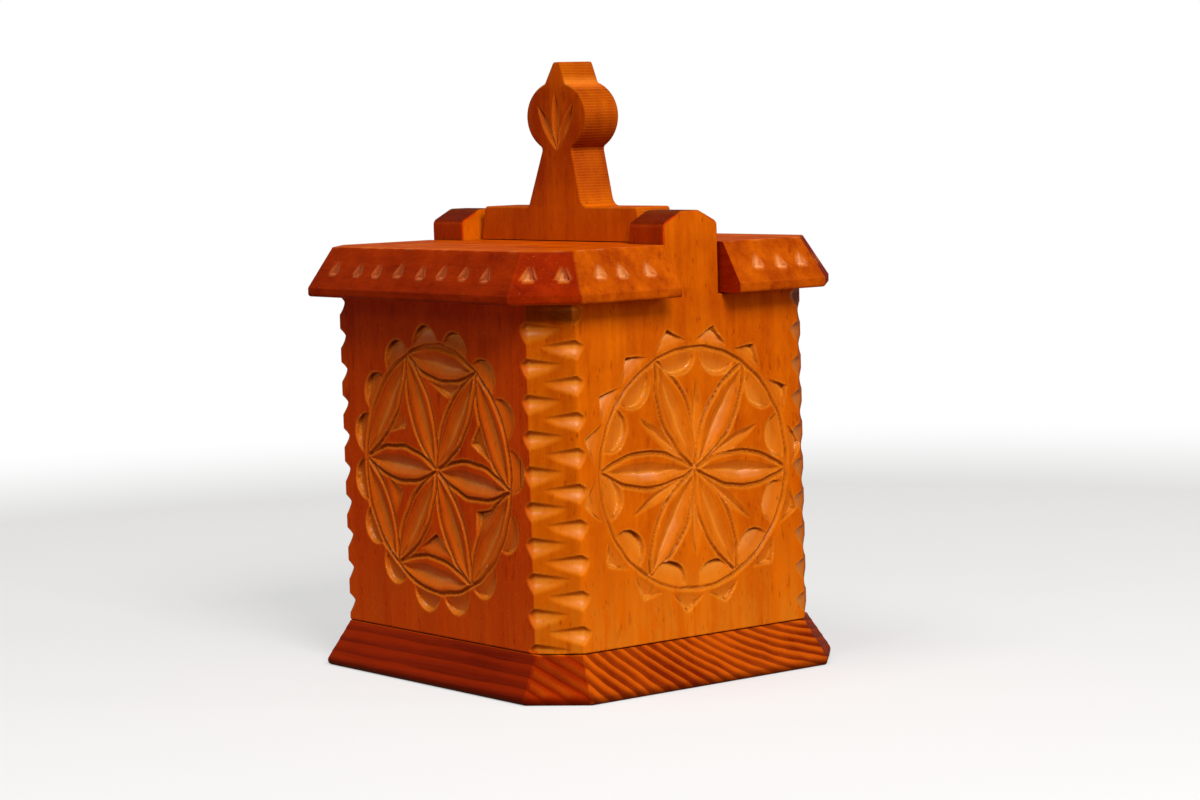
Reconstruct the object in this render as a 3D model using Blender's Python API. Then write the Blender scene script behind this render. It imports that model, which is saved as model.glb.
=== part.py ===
"""Carved wooden salt box with a lift-off lid.

Four upright boards stand on a bevelled base board.  The two side boards carry all
four corner flats, cut with rows of gouge notches, and each rises in an ear that
passes through a notch in the lid.  The lid has a bar handle with a disc finial that
drops between the ears.  Beech dowels hold the joints.

X runs along the handle bar, Y across it, Z up.  The origin is the middle of the
base board's underside.  All lengths are in metres.
"""
import math

import bmesh
import bpy
from mathutils import Vector

# The body: outside sizes, board thickness and the flats on its upright corners.
BODY_LENGTH = 0.1150
BODY_WIDTH = 0.1044
WALL_THICKNESS = 0.0160
WALL_HEIGHT = 0.1001
CORNER_LEG = 0.0101

# The base board: a short upright band below a bevel that ends flush with the walls.
BASE_HEIGHT = 0.0135
BASE_OVERHANG = 0.0070
BASE_BAND = 0.0022
BASE_EASING = 0.0006

# The lid board: an upright band at its lower edge, then a bevel up to a smaller top.
LID_THICKNESS = 0.0149
LID_OVERHANG = 0.0088
LID_TOP_OVERHANG = 0.0013
LID_BAND = 0.0027
LID_EASING = 0.0009

# The ears that rise from the side boards through the lid.
EAR_WIDTH = 0.0205
EAR_RISE = 0.0248
EAR_SHIFT = 0.0013
EAR_CLIP_WIDTH = 0.0070
EAR_CLIP_DROP = 0.0036
EAR_CLEARANCE = 0.0008

# The handle: a bar between the ears, a splayed stem, a disc and a small crown.
HANDLE_THICKNESS = 0.0129
HANDLE_SHIFT = 0.0037
BAR_HEIGHT = 0.0102
BAR_END_CLEARANCE = 0.0016
BAR_END_SLOPE = 0.0022
STEM_FOOT_LEFT = 0.0152
STEM_FOOT_RIGHT = 0.0115
STEM_FILLET = 0.0036
NECK_HALF_WIDTH = 0.0071
NECK_RISE = 0.0178
DISC_HALF_WIDTH = 0.01465
DISC_HALF_HEIGHT = 0.0108
CROWN_FOOT_HALF_WIDTH = 0.0052
CROWN_TOP_HALF_WIDTH = 0.0015
CROWN_HEIGHT = 0.0064
CROWN_LEAN = 0.0008
CURVE_STEPS = 9

# Gouge notches on the corner flats, alternating from one edge and the other.
NOTCH_PITCH = 0.01024
NOTCH_TOP_MARGIN = 0.0017
NOTCH_WIDTH = 0.0058
NOTCH_DEPTH = 0.0017
NOTCH_REACH = 0.0092
NOTCH_VALLEY_SHARE = 0.30

# Three-cornered chips along the lid's bevel, deepest at their upper point.
CHIP_WIDTH = 0.0046
CHIP_HEIGHT = 0.0058
CHIP_DEPTH = 0.0011
CHIP_RISE = 0.0050
CHIP_PITCH_FRONT = 0.01106
CHIP_COUNT_FRONT = 8
CHIP_PITCH_SIDE = 0.0090
CHIP_COUNT_SIDE = 3
CHIP_MIDDLE_SIDE = 0.0290
CHIP_PITCH_CORNER = 0.0092

# Rosettes: six petals in a ring of six on the front and back, twelve on the sides.
ROSETTE_HEIGHT = 0.0497
ROSETTE_DEPTH = 0.0015
FRONT_ROSETTE_SHIFT = 0.0013
FRONT_ROSETTE_RADIUS = 0.0366
FRONT_PETAL_WIDTH = 0.0086
FRONT_TURN = math.radians(-5.5)
FRONT_CHIP_TURN = math.radians(-1.9)
SIDE_ROSETTE_SHIFT = 0.0009
SIDE_ROSETTE_RADIUS = 0.0354
SIDE_PETAL_WIDTH = 0.0078
SIDE_TURN = math.radians(-3.9)
SIDE_CHIP_TURN = math.radians(2.5)
NARROW_PETAL_LENGTH = 0.0265
NARROW_PETAL_WIDTH = 0.0034
NARROW_PETAL_DEPTH = 0.0009
ROSETTE_EYE = 0.0016
PETAL_STEPS = 8
RIM_CHIP_COUNT = 15
FRONT_CHIP_LENGTH = 0.0048
SIDE_CHIP_LENGTH = 0.0056
RIM_CHIP_WIDTH = 0.0128
RIM_CHIP_GAP = 0.0010
LEAF_LENGTH = 0.0135
LEAF_WIDTH = 0.0034
LEAF_DEPTH = 0.0009
LEAF_SPREAD = math.radians(24.0)
LEAF_FOOT_DROP = 0.0078

# Dowels: wall to wall, wall to base board, and lid board to handle.
DOWEL_RADIUS = 0.0030
DOWEL_SIDES = 16
WALL_DOWEL_IN_SIDE = 0.0070
WALL_DOWEL_IN_FRONT = 0.0120
WALL_DOWEL_LOW = 0.0260
WALL_DOWEL_HIGH = 0.0800
BASE_DOWEL_IN_WALL = 0.0140
BASE_DOWEL_SIDE_SPACING = 0.0560
BASE_DOWEL_FRONT_SPACING = 0.0480
HANDLE_DOWEL_IN_BAR = 0.0070
HANDLE_DOWEL_INSET = 0.0129

# Working clearances: the gap left between pieces that touch, and how far a cut
# runs past the face it opens.
SEAT_GAP = 0.0003
OVERRUN = 0.0004

SMOOTH_ANGLE = math.radians(32.0)
OCTAGON_TANGENT = math.tan(math.radians(22.5))
WALL_FOOT = BASE_HEIGHT + SEAT_GAP
LID_UNDERSIDE = WALL_FOOT + WALL_HEIGHT + SEAT_GAP
LID_TOP = LID_UNDERSIDE + LID_THICKNESS
HANDLE_FOOT = LID_TOP + SEAT_GAP
HALF_LENGTH = BODY_LENGTH / 2
HALF_WIDTH = BODY_WIDTH / 2
INNER_LENGTH = BODY_LENGTH - 2 * WALL_THICKNESS
SIDE_MIDDLE = HALF_LENGTH - WALL_THICKNESS / 2
FRONT_MIDDLE = HALF_WIDTH - WALL_THICKNESS / 2
HALF_BAR = INNER_LENGTH / 2 - BAR_END_CLEARANCE
HANDLE_DOWEL_REACH = HALF_BAR - HANDLE_DOWEL_INSET


def clear_scene():
    """Remove every object that the opened scene holds."""
    for item in list(bpy.data.objects):
        bpy.data.objects.remove(item, do_unlink=True)


def wood(name, colour, roughness):
    """Return a Principled wood material of one colour and roughness."""
    material = bpy.data.materials.new(name)
    material.use_nodes = True
    shader = material.node_tree.nodes["Principled BSDF"]
    shader.inputs["Base Color"].default_value = (*colour, 1.0)
    shader.inputs["Roughness"].default_value = roughness
    shader.inputs["Metallic"].default_value = 0.0
    return material


def add_object(name, mesh_data, material=None, parent=None):
    """Turn a bmesh into a linked object with outward faces."""
    bmesh.ops.recalc_face_normals(mesh_data, faces=mesh_data.faces)
    mesh = bpy.data.meshes.new(name)
    mesh_data.to_mesh(mesh)
    mesh_data.free()
    item = bpy.data.objects.new(name, mesh)
    bpy.context.scene.collection.objects.link(item)
    if material is not None:
        mesh.materials.append(material)
    item.parent = parent
    return item


def smooth_round_faces(item):
    """Shade an object smooth, keeping its real edges sharp."""
    item.data.shade_smooth()
    item.data.set_sharp_from_angle(angle=SMOOTH_ANGLE)


def cut(item, cutter, carried=True):
    """Subtract a cutter from an object with a live Boolean.

    A carried cutter is given in the object's own frame, any other in the box's.
    """
    if carried:
        cutter.parent = item
    cutter.hide_render = True
    cutter.display_type = "WIRE"
    step = item.modifiers.new(cutter.name, "BOOLEAN")
    step.operation = "DIFFERENCE"
    step.object = cutter
    step.use_self = True


def add_loft(mesh_data, rings):
    """Add one closed solid through rings of points, each with as many points."""
    loops = [[mesh_data.verts.new(point) for point in ring] for ring in rings]
    count = len(rings[0])
    mesh_data.faces.new(loops[0])
    mesh_data.faces.new(loops[-1])
    for lower, upper in zip(loops, loops[1:]):
        for index in range(count):
            following = (index + 1) % count
            mesh_data.faces.new((lower[index], lower[following], upper[following], upper[index]))


def add_cylinder(mesh_data, start, end, radius):
    """Add a closed cylinder between two points."""
    axis = Vector(end) - Vector(start)
    turn = axis.to_track_quat("Z", "Y")
    rings = []
    for height in (0.0, axis.length):
        ring = []
        for step in range(DOWEL_SIDES):
            angle = 2 * math.pi * step / DOWEL_SIDES
            spot = Vector((radius * math.cos(angle), radius * math.sin(angle), height))
            ring.append(Vector(start) + turn @ spot)
        rings.append(ring)
    add_loft(mesh_data, rings)


def octagon(overhang, height):
    """Return the body's eight-cornered plan, pushed out evenly, at one height."""
    half_x = HALF_LENGTH + overhang
    half_y = HALF_WIDTH + overhang
    leg = CORNER_LEG + overhang * (1 - OCTAGON_TANGENT)
    quarter = [(half_x, half_y - leg), (half_x - leg, half_y)]
    ring = []
    for sign_x, sign_y, order in ((1, 1, 1), (-1, 1, -1), (-1, -1, 1), (1, -1, -1)):
        ring += [(sign_x * x, sign_y * y, height) for x, y in quarter[::order]]
    return ring


class Face:
    """A flat face that is carved: a middle, a right-hand way, an up way and outwards."""

    def __init__(self, middle, right, up):
        self.middle = Vector(middle)
        self.right = Vector(right).normalized()
        self.up = Vector(up).normalized()
        self.out = self.right.cross(self.up)

    def at(self, across, along, depth=0.0):
        """Return the point that lies across and along the face, sunk by a depth."""
        return self.middle + self.right * across + self.up * along - self.out * depth


def add_petal(mesh_data, face, start, end, width, depth):
    """Add a lens-shaped cutter with a V section, deepest half way along."""
    start, end = Vector(start), Vector(end)
    way = end - start
    length = way.length
    way.normalize()
    side = Vector((-way.y, way.x))
    middle = (start + end) / 2
    slope = width / 2 / depth
    reach = math.sqrt(1 + OVERRUN / depth / 2)
    rings = []
    for step in range(PETAL_STEPS + 1):
        share = reach * (2 * step / PETAL_STEPS - 1)
        sink = depth * (1 - share * share)
        spot = middle + way * (share * length / 2)
        half = (sink + OVERRUN) * slope
        left, right = spot + side * half, spot - side * half
        rings.append((face.at(left.x, left.y, -OVERRUN), face.at(spot.x, spot.y, sink),
                      face.at(right.x, right.y, -OVERRUN)))
    add_loft(mesh_data, rings)


def add_chip(mesh_data, face, foot_left, foot_right, point, depth):
    """Add a four-cornered cutter whose floor falls from two corners to a deep point."""
    spots = [Vector(foot_left), Vector(foot_right), Vector(point)]
    middle = (spots[0] + spots[1]) / 2
    rise = OVERRUN / depth
    lifted = [spot + (middle - spots[2]) * rise for spot in spots[:2]]
    widened = [spot + (spot - middle) * rise for spot in lifted]
    corners = [face.at(spot.x, spot.y, -OVERRUN) for spot in widened]
    corners.append(face.at(spots[2].x, spots[2].y, -OVERRUN))
    corners.append(face.at(spots[2].x, spots[2].y, depth))
    verts = [mesh_data.verts.new(corner) for corner in corners]
    for trio in ((0, 1, 2), (0, 1, 3), (1, 2, 3), (2, 0, 3)):
        mesh_data.faces.new([verts[index] for index in trio])


def on_circle(radius, angle):
    """Return the point of a circle about the rosette's middle."""
    return Vector((radius * math.cos(angle), radius * math.sin(angle)))


def add_rim_chips(mesh_data, face, radius, turn, length):
    """Add the ring of three-cornered chips that point out from a rosette."""
    inner = radius + RIM_CHIP_GAP
    half_angle = RIM_CHIP_WIDTH / 2 / inner
    for index in range(RIM_CHIP_COUNT):
        angle = turn + 2 * math.pi * index / RIM_CHIP_COUNT
        left = on_circle(inner, angle + half_angle)
        right = on_circle(inner, angle - half_angle)
        tip = on_circle(inner + length, angle)
        add_chip(mesh_data, face, left, right, tip, ROSETTE_DEPTH)


def add_front_rosette(mesh_data, face):
    """Add six petals from the middle and six that join their tips."""
    tips = [FRONT_TURN + math.radians(60.0) * index for index in range(6)]
    radius = FRONT_ROSETTE_RADIUS
    for index, angle in enumerate(tips):
        following = tips[(index + 1) % len(tips)]
        start, end = on_circle(ROSETTE_EYE, angle), on_circle(radius, angle)
        add_petal(mesh_data, face, start, end, FRONT_PETAL_WIDTH, ROSETTE_DEPTH)
        joined = (on_circle(radius, angle), on_circle(radius, following))
        inset = (joined[1] - joined[0]).normalized() * ROSETTE_EYE
        add_petal(mesh_data, face, joined[0] + inset, joined[1] - inset, FRONT_PETAL_WIDTH,
                  ROSETTE_DEPTH)
    add_rim_chips(mesh_data, face, radius, FRONT_CHIP_TURN, FRONT_CHIP_LENGTH)


def add_side_rosette(mesh_data, face):
    """Add six broad petals and six narrow ones between them."""
    for index in range(6):
        angle = SIDE_TURN + math.radians(60.0) * index
        start, end = on_circle(ROSETTE_EYE, angle), on_circle(SIDE_ROSETTE_RADIUS, angle)
        add_petal(mesh_data, face, start, end, SIDE_PETAL_WIDTH, ROSETTE_DEPTH)
        between = angle + math.radians(30.0)
        start, end = on_circle(2 * ROSETTE_EYE, between), on_circle(NARROW_PETAL_LENGTH, between)
        add_petal(mesh_data, face, start, end, NARROW_PETAL_WIDTH, NARROW_PETAL_DEPTH)
    add_rim_chips(mesh_data, face, SIDE_ROSETTE_RADIUS, SIDE_CHIP_TURN, SIDE_CHIP_LENGTH)


def notch_cutter(name, first_on_side):
    """Return the gouge notches of a side board's two corner flats.

    A board is drawn as seen from outside: X along it, Y inwards, Z up.
    """
    mesh_data = bmesh.new()
    flat_half = CORNER_LEG / math.sqrt(2)
    count = int((WALL_HEIGHT - NOTCH_TOP_MARGIN) / (NOTCH_PITCH / 2)) + 1
    for hand in (-1, 1):
        middle = (hand * (HALF_WIDTH - CORNER_LEG / 2), (CORNER_LEG - WALL_THICKNESS) / 2, 0.0)
        face = Face(middle, (1, hand, 0), (0, 0, 1))
        for index in range(count):
            height = WALL_HEIGHT - NOTCH_TOP_MARGIN - index * NOTCH_PITCH / 2
            on_side = (index % 2 == 0) == first_on_side
            edge_way = -hand if on_side else hand
            add_notch(mesh_data, face, edge_way, flat_half, height)
    return add_object(name, mesh_data)


def add_notch(mesh_data, face, edge_way, flat_half, height):
    """Add one wedge that enters over an edge of the flat and tapers to a point."""
    rise = OVERRUN / NOTCH_DEPTH
    point = edge_way * (flat_half - NOTCH_REACH * (1 + rise))
    outer = edge_way * (flat_half + NOTCH_REACH)
    spread = 2 + rise
    sink = NOTCH_DEPTH * spread - OVERRUN
    lift = NOTCH_DEPTH
    stretch = (sink + lift) / (sink + OVERRUN)
    above = NOTCH_WIDTH * NOTCH_VALLEY_SHARE * spread * stretch
    below = NOTCH_WIDTH * (1 - NOTCH_VALLEY_SHARE) * spread * stretch
    tip = mesh_data.verts.new(face.at(point, height, -OVERRUN))
    valley = mesh_data.verts.new(face.at(outer, height, sink))
    upper = mesh_data.verts.new(face.at(outer, height + above, -lift))
    lower = mesh_data.verts.new(face.at(outer, height - below, -lift))
    for trio in ((tip, valley, upper), (tip, lower, valley), (tip, upper, lower), (valley, lower, upper)):
        mesh_data.faces.new(trio)


def base_holes(mesh_data, spacing):
    """Add the two dowel holes in a board's foot."""
    for hand in (-1, 1):
        foot = (hand * spacing / 2, 0.0, -OVERRUN)
        top = (hand * spacing / 2, 0.0, BASE_DOWEL_IN_WALL + SEAT_GAP)
        add_cylinder(mesh_data, foot, top, DOWEL_RADIUS + SEAT_GAP)


def build_side_wall(name, turn, ear_shift, first_on_side, material):
    """Build a side board with its ear, corner flats and notches."""
    half = HALF_WIDTH
    ear_top = WALL_HEIGHT + EAR_RISE
    ear_left, ear_right = ear_shift - EAR_WIDTH / 2, ear_shift + EAR_WIDTH / 2
    outline = [(-half, 0.0), (half, 0.0), (half, WALL_HEIGHT), (ear_right, WALL_HEIGHT),
               (ear_right, ear_top - EAR_CLIP_DROP), (ear_right - EAR_CLIP_WIDTH, ear_top),
               (ear_left + EAR_CLIP_WIDTH, ear_top), (ear_left, ear_top - EAR_CLIP_DROP),
               (ear_left, WALL_HEIGHT), (-half, WALL_HEIGHT)]
    mesh_data = bmesh.new()
    depth = WALL_THICKNESS / 2
    add_loft(mesh_data, [[(x, y, z) for x, z in outline] for y in (-depth, depth)])
    add_corner_flats(mesh_data, half, depth)
    wall = add_object(name, mesh_data, material)
    wall.location = (math.sin(turn) * SIDE_MIDDLE, 0.0, WALL_FOOT)
    wall.rotation_euler = (0.0, 0.0, turn)

    cut(wall, notch_cutter(name + "_notch_cutter", first_on_side))
    holes = bmesh.new()
    base_holes(holes, BASE_DOWEL_SIDE_SPACING)
    for hand in (-1, 1):
        for height in (WALL_DOWEL_LOW, WALL_DOWEL_HIGH):
            start = (hand * FRONT_MIDDLE, depth + OVERRUN, height)
            end = (hand * FRONT_MIDDLE, depth - WALL_DOWEL_IN_SIDE - SEAT_GAP, height)
            add_cylinder(holes, start, end, DOWEL_RADIUS + SEAT_GAP)
    cut(wall, add_object(name + "_hole_cutter", holes))
    return wall


def add_corner_flats(mesh_data, half, depth):
    """Cut the flats on a board's two upright outer edges."""
    corners = []
    for edge in mesh_data.edges:
        spots = [vert.co for vert in edge.verts]
        upright = abs(spots[0].z - spots[1].z) > WALL_HEIGHT / 2
        outer = all(math.isclose(spot.y, -depth, abs_tol=OVERRUN) for spot in spots)
        at_end = all(math.isclose(abs(spot.x), half, abs_tol=OVERRUN) for spot in spots)
        if upright and outer and at_end:
            corners.append(edge)
    bmesh.ops.bevel(mesh_data, geom=corners, offset=CORNER_LEG, segments=1, affect="EDGES",
                    offset_type="OFFSET")


def build_front_wall(name, turn, material):
    """Build a plain board that fits between the side boards."""
    half = INNER_LENGTH / 2 - SEAT_GAP
    depth = WALL_THICKNESS / 2
    plan = [(-half, -depth), (half, -depth), (half, depth), (-half, depth)]
    mesh_data = bmesh.new()
    add_loft(mesh_data, [[(x, y, z) for x, y in plan] for z in (0.0, WALL_HEIGHT)])
    wall = add_object(name, mesh_data, material)
    wall.location = (0.0, -math.cos(turn) * FRONT_MIDDLE, WALL_FOOT)
    wall.rotation_euler = (0.0, 0.0, turn)

    holes = bmesh.new()
    base_holes(holes, BASE_DOWEL_FRONT_SPACING)
    for hand in (-1, 1):
        for height in (WALL_DOWEL_LOW, WALL_DOWEL_HIGH):
            start = (hand * (half + OVERRUN), 0.0, height)
            end = (hand * (half - WALL_DOWEL_IN_FRONT - SEAT_GAP), 0.0, height)
            add_cylinder(holes, start, end, DOWEL_RADIUS + SEAT_GAP)
    cut(wall, add_object(name + "_hole_cutter", holes))
    return wall


def carve_rosette(name, turn, shift, add_rosette, walls):
    """Cut a rosette in one face of the glued-up body, over every board that it meets."""
    way = Vector((math.sin(turn), -math.cos(turn), 0.0))
    right = Vector((math.cos(turn), math.sin(turn), 0.0))
    reach = abs(way.x) * HALF_LENGTH + abs(way.y) * HALF_WIDTH
    middle = way * reach + right * shift + Vector((0.0, 0.0, WALL_FOOT + ROSETTE_HEIGHT))
    carving = bmesh.new()
    add_rosette(carving, Face(middle, right, (0, 0, 1)))
    cutter = add_object(name, carving)
    for wall in walls:
        cut(wall, cutter, carried=False)


def base_dowel_spots():
    """Return the plan places of the dowels that hold the walls to the base board."""
    spots = []
    for sign in (-1, 1):
        for hand in (-1, 1):
            spots.append((sign * SIDE_MIDDLE, hand * BASE_DOWEL_SIDE_SPACING / 2))
            spots.append((hand * BASE_DOWEL_FRONT_SPACING / 2, sign * FRONT_MIDDLE))
    return spots


def build_base_board(material):
    """Build the bevelled base board with its dowel holes."""
    mesh_data = bmesh.new()
    add_loft(mesh_data, [octagon(BASE_OVERHANG - BASE_EASING, 0.0), octagon(BASE_OVERHANG, BASE_EASING),
                         octagon(BASE_OVERHANG, BASE_BAND), octagon(0.0, BASE_HEIGHT)])
    base = add_object("base_board", mesh_data, material)
    holes = bmesh.new()
    for x, y in base_dowel_spots():
        add_cylinder(holes, (x, y, -OVERRUN), (x, y, BASE_HEIGHT + OVERRUN), DOWEL_RADIUS + SEAT_GAP)
    cut(base, add_object("base_board_hole_cutter", holes))


def add_lid_chips(mesh_data):
    """Add the rows of three-cornered chips along the lid's eight bevels."""
    fall = LID_OVERHANG - LID_TOP_OVERHANG
    climb = LID_THICKNESS - LID_BAND
    ear_local = EAR_SHIFT
    front = [(index - (CHIP_COUNT_FRONT - 1) / 2) * CHIP_PITCH_FRONT for index in range(CHIP_COUNT_FRONT)]
    middle_chip = (CHIP_COUNT_SIDE - 1) / 2
    group = [(index - middle_chip) * CHIP_PITCH_SIDE for index in range(CHIP_COUNT_SIDE)]
    side = [ear_local + way * CHIP_MIDDLE_SIDE + place for way in (-1, 1) for place in group]
    corner = [-CHIP_PITCH_CORNER / 2, CHIP_PITCH_CORNER / 2]
    corner_reach = HALF_LENGTH - CORNER_LEG / 2
    corner_offset = LID_OVERHANG * math.cos(math.radians(45.0))
    for quarter in range(4):
        angle = math.radians(90.0) * quarter
        along_front = quarter % 2 == 0
        reach = (HALF_WIDTH if along_front else HALF_LENGTH) + LID_OVERHANG
        out = Vector((math.sin(angle), -math.cos(angle), 0.0))
        right = Vector((math.cos(angle), math.sin(angle), 0.0))
        hand = 1 if quarter < 2 else -1
        places = front if along_front else [hand * place for place in side]
        add_chip_row(mesh_data, out * reach, right, out, fall, climb, places)
        between = math.radians(45.0) + angle
        out = Vector((math.sin(between), -math.cos(between), 0.0))
        right = Vector((math.cos(between), math.sin(between), 0.0))
        spot = Vector((math.copysign(corner_reach + corner_offset, out.x),
                       math.copysign(HALF_WIDTH - CORNER_LEG / 2 + corner_offset, out.y), 0.0))
        add_chip_row(mesh_data, spot, right, out, fall, climb, corner)


def add_chip_row(mesh_data, foot, right, out, fall, climb, places):
    """Add chips at places along one bevel, whose foot lies at the band's upper edge."""
    up = Vector((0.0, 0.0, climb)) - out * fall
    face = Face(foot + Vector((0.0, 0.0, LID_BAND)), right, up)
    for place in places:
        left_foot = (place - CHIP_WIDTH / 2, CHIP_RISE)
        right_foot = (place + CHIP_WIDTH / 2, CHIP_RISE)
        add_chip(mesh_data, face, left_foot, right_foot, (place, CHIP_RISE + CHIP_HEIGHT), CHIP_DEPTH)


def build_lid_board(lift, material):
    """Build the bevelled lid board, notched for the ears."""
    mesh_data = bmesh.new()
    add_loft(mesh_data, [octagon(LID_OVERHANG - LID_EASING, 0.0), octagon(LID_OVERHANG, LID_EASING),
                         octagon(LID_OVERHANG, LID_BAND), octagon(LID_TOP_OVERHANG, LID_THICKNESS)])
    lid = add_object("lid_board", mesh_data, material, lift)

    openings = bmesh.new()
    inner = INNER_LENGTH / 2 - EAR_CLEARANCE
    outer = HALF_LENGTH + LID_OVERHANG + OVERRUN
    half = EAR_WIDTH / 2 + EAR_CLEARANCE
    for hand in (-1, 1):
        plan = [(hand * inner, EAR_SHIFT - half), (hand * outer, EAR_SHIFT - half),
                (hand * outer, EAR_SHIFT + half), (hand * inner, EAR_SHIFT + half)]
        add_loft(openings, [[(x, y, z) for x, y in plan] for z in (-OVERRUN, LID_THICKNESS + OVERRUN)])
        x = hand * HANDLE_DOWEL_REACH
        add_cylinder(openings, (x, HANDLE_SHIFT, -OVERRUN),
                     (x, HANDLE_SHIFT, LID_THICKNESS + OVERRUN), DOWEL_RADIUS + SEAT_GAP)
    cut(lid, add_object("lid_board_notch_cutter", openings))
    chips = bmesh.new()
    add_lid_chips(chips)
    cut(lid, add_object("lid_board_chip_cutter", chips))


def arc(middle, radii, first, last, steps):
    """Return points of an elliptical arc from one angle to another, ends included."""
    points = []
    for step in range(steps + 1):
        angle = first + (last - first) * step / steps
        points.append((middle[0] + radii[0] * math.cos(angle), middle[1] + radii[1] * math.sin(angle)))
    return points


def handle_outline():
    """Return the handle's outline, seen from the front, from the bar's lower left corner."""
    neck = BAR_HEIGHT + NECK_RISE
    lower = math.acos(NECK_HALF_WIDTH / DISC_HALF_WIDTH)
    upper = math.acos(CROWN_FOOT_HALF_WIDTH / DISC_HALF_WIDTH)
    disc_middle = neck + DISC_HALF_HEIGHT * math.sin(lower)
    crown_foot = disc_middle + DISC_HALF_HEIGHT * math.sin(upper)
    lean = math.atan2(STEM_FOOT_RIGHT - NECK_HALF_WIDTH, NECK_RISE)
    fillet = STEM_FILLET
    tangent = fillet * math.tan((math.pi / 2 + lean) / 2)
    fillet_middle = (STEM_FOOT_RIGHT + tangent, BAR_HEIGHT + fillet)
    radii = (DISC_HALF_WIDTH, DISC_HALF_HEIGHT)
    points = [(-HALF_BAR, 0.0), (HALF_BAR, 0.0), (HALF_BAR - BAR_END_SLOPE, BAR_HEIGHT)]
    points += arc(fillet_middle, (fillet, fillet), -math.pi / 2, -math.pi - lean, CURVE_STEPS // 2)
    points += arc((0.0, disc_middle), radii, -lower, upper, CURVE_STEPS)
    points += [(CROWN_LEAN + CROWN_TOP_HALF_WIDTH, crown_foot + CROWN_HEIGHT),
               (CROWN_LEAN - CROWN_TOP_HALF_WIDTH, crown_foot + CROWN_HEIGHT)]
    points += arc((0.0, disc_middle), radii, math.pi - upper, math.pi + lower, CURVE_STEPS)
    points += [(-STEM_FOOT_LEFT, BAR_HEIGHT), (BAR_END_SLOPE - HALF_BAR, BAR_HEIGHT)]
    return points, disc_middle


def build_handle(lift, material):
    """Build the bar and finial as one board, with three leaves cut in each face."""
    outline, disc_middle = handle_outline()
    mesh_data = bmesh.new()
    depth = HANDLE_THICKNESS / 2
    add_loft(mesh_data, [[(x, y, z) for x, z in outline] for y in (-depth, depth)])
    handle = add_object("lid_handle", mesh_data, material, lift)
    handle.location = (0.0, HANDLE_SHIFT, HANDLE_FOOT - LID_UNDERSIDE)
    smooth_round_faces(handle)

    leaves = bmesh.new()
    for hand in (-1, 1):
        face = Face((0.0, hand * depth, disc_middle), (-hand, 0, 0), (0, 0, 1))
        for leaf in (-1, 0, 1):
            way = Vector((math.sin(leaf * LEAF_SPREAD), math.cos(leaf * LEAF_SPREAD)))
            start = Vector((0.0, -LEAF_FOOT_DROP)) + way * LEAF_WIDTH
            add_petal(leaves, face, start, start + way * (LEAF_LENGTH - LEAF_WIDTH), LEAF_WIDTH, LEAF_DEPTH)
    cut(handle, add_object("lid_handle_leaf_cutter", leaves))

    holes = bmesh.new()
    for hand in (-1, 1):
        x = hand * HANDLE_DOWEL_REACH
        add_cylinder(holes, (x, 0.0, -OVERRUN), (x, 0.0, HANDLE_DOWEL_IN_BAR + SEAT_GAP),
                     DOWEL_RADIUS + SEAT_GAP)
    cut(handle, add_object("lid_handle_hole_cutter", holes))


def dowel_mesh(name, length, material):
    """Return the mesh of one dowel that stands up from its own foot."""
    mesh_data = bmesh.new()
    add_cylinder(mesh_data, (0.0, 0.0, 0.0), (0.0, 0.0, length), DOWEL_RADIUS)
    bmesh.ops.recalc_face_normals(mesh_data, faces=mesh_data.faces)
    mesh = bpy.data.meshes.new(name)
    mesh_data.to_mesh(mesh)
    mesh_data.free()
    mesh.materials.append(material)
    mesh.shade_smooth()
    mesh.set_sharp_from_angle(angle=SMOOTH_ANGLE)
    return mesh


def place_dowels(name, mesh, places, parent=None):
    """Add one object for each dowel, at its foot and turned about Y."""
    for number, (foot, turn) in enumerate(places, 1):
        dowel = bpy.data.objects.new(f"{name}_{number}", mesh)
        bpy.context.scene.collection.objects.link(dowel)
        dowel.location = foot
        dowel.rotation_euler = (0.0, turn, 0.0)
        dowel.parent = parent


def build_wall_dowels(material):
    """Build the eight dowels that join the front and back boards to the side boards."""
    length = WALL_DOWEL_IN_FRONT + SEAT_GAP + WALL_DOWEL_IN_SIDE
    reach = INNER_LENGTH / 2 + WALL_DOWEL_IN_SIDE
    places = []
    for hand in (-1, 1):
        for sign in (-1, 1):
            for height in (WALL_DOWEL_LOW, WALL_DOWEL_HIGH):
                foot = (hand * reach, sign * FRONT_MIDDLE, WALL_FOOT + height)
                places.append((foot, -hand * math.pi / 2))
    place_dowels("wall_dowel", dowel_mesh("wall_dowel", length, material), places)


def build_base_dowels(material):
    """Build the eight dowels that come up through the base board into the walls."""
    mesh = dowel_mesh("base_dowel", WALL_FOOT + BASE_DOWEL_IN_WALL, material)
    places = [((x, y, 0.0), 0.0) for x, y in base_dowel_spots()]
    place_dowels("base_dowel", mesh, places)


def build_handle_dowels(lift, material):
    """Build the two dowels that hold the handle to the lid board."""
    length = HANDLE_FOOT - LID_UNDERSIDE + HANDLE_DOWEL_IN_BAR
    mesh = dowel_mesh("handle_dowel", length, material)
    places = [((hand * HANDLE_DOWEL_REACH, HANDLE_SHIFT, 0.0), 0.0) for hand in (-1, 1)]
    place_dowels("handle_dowel", mesh, places, lift)


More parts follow.
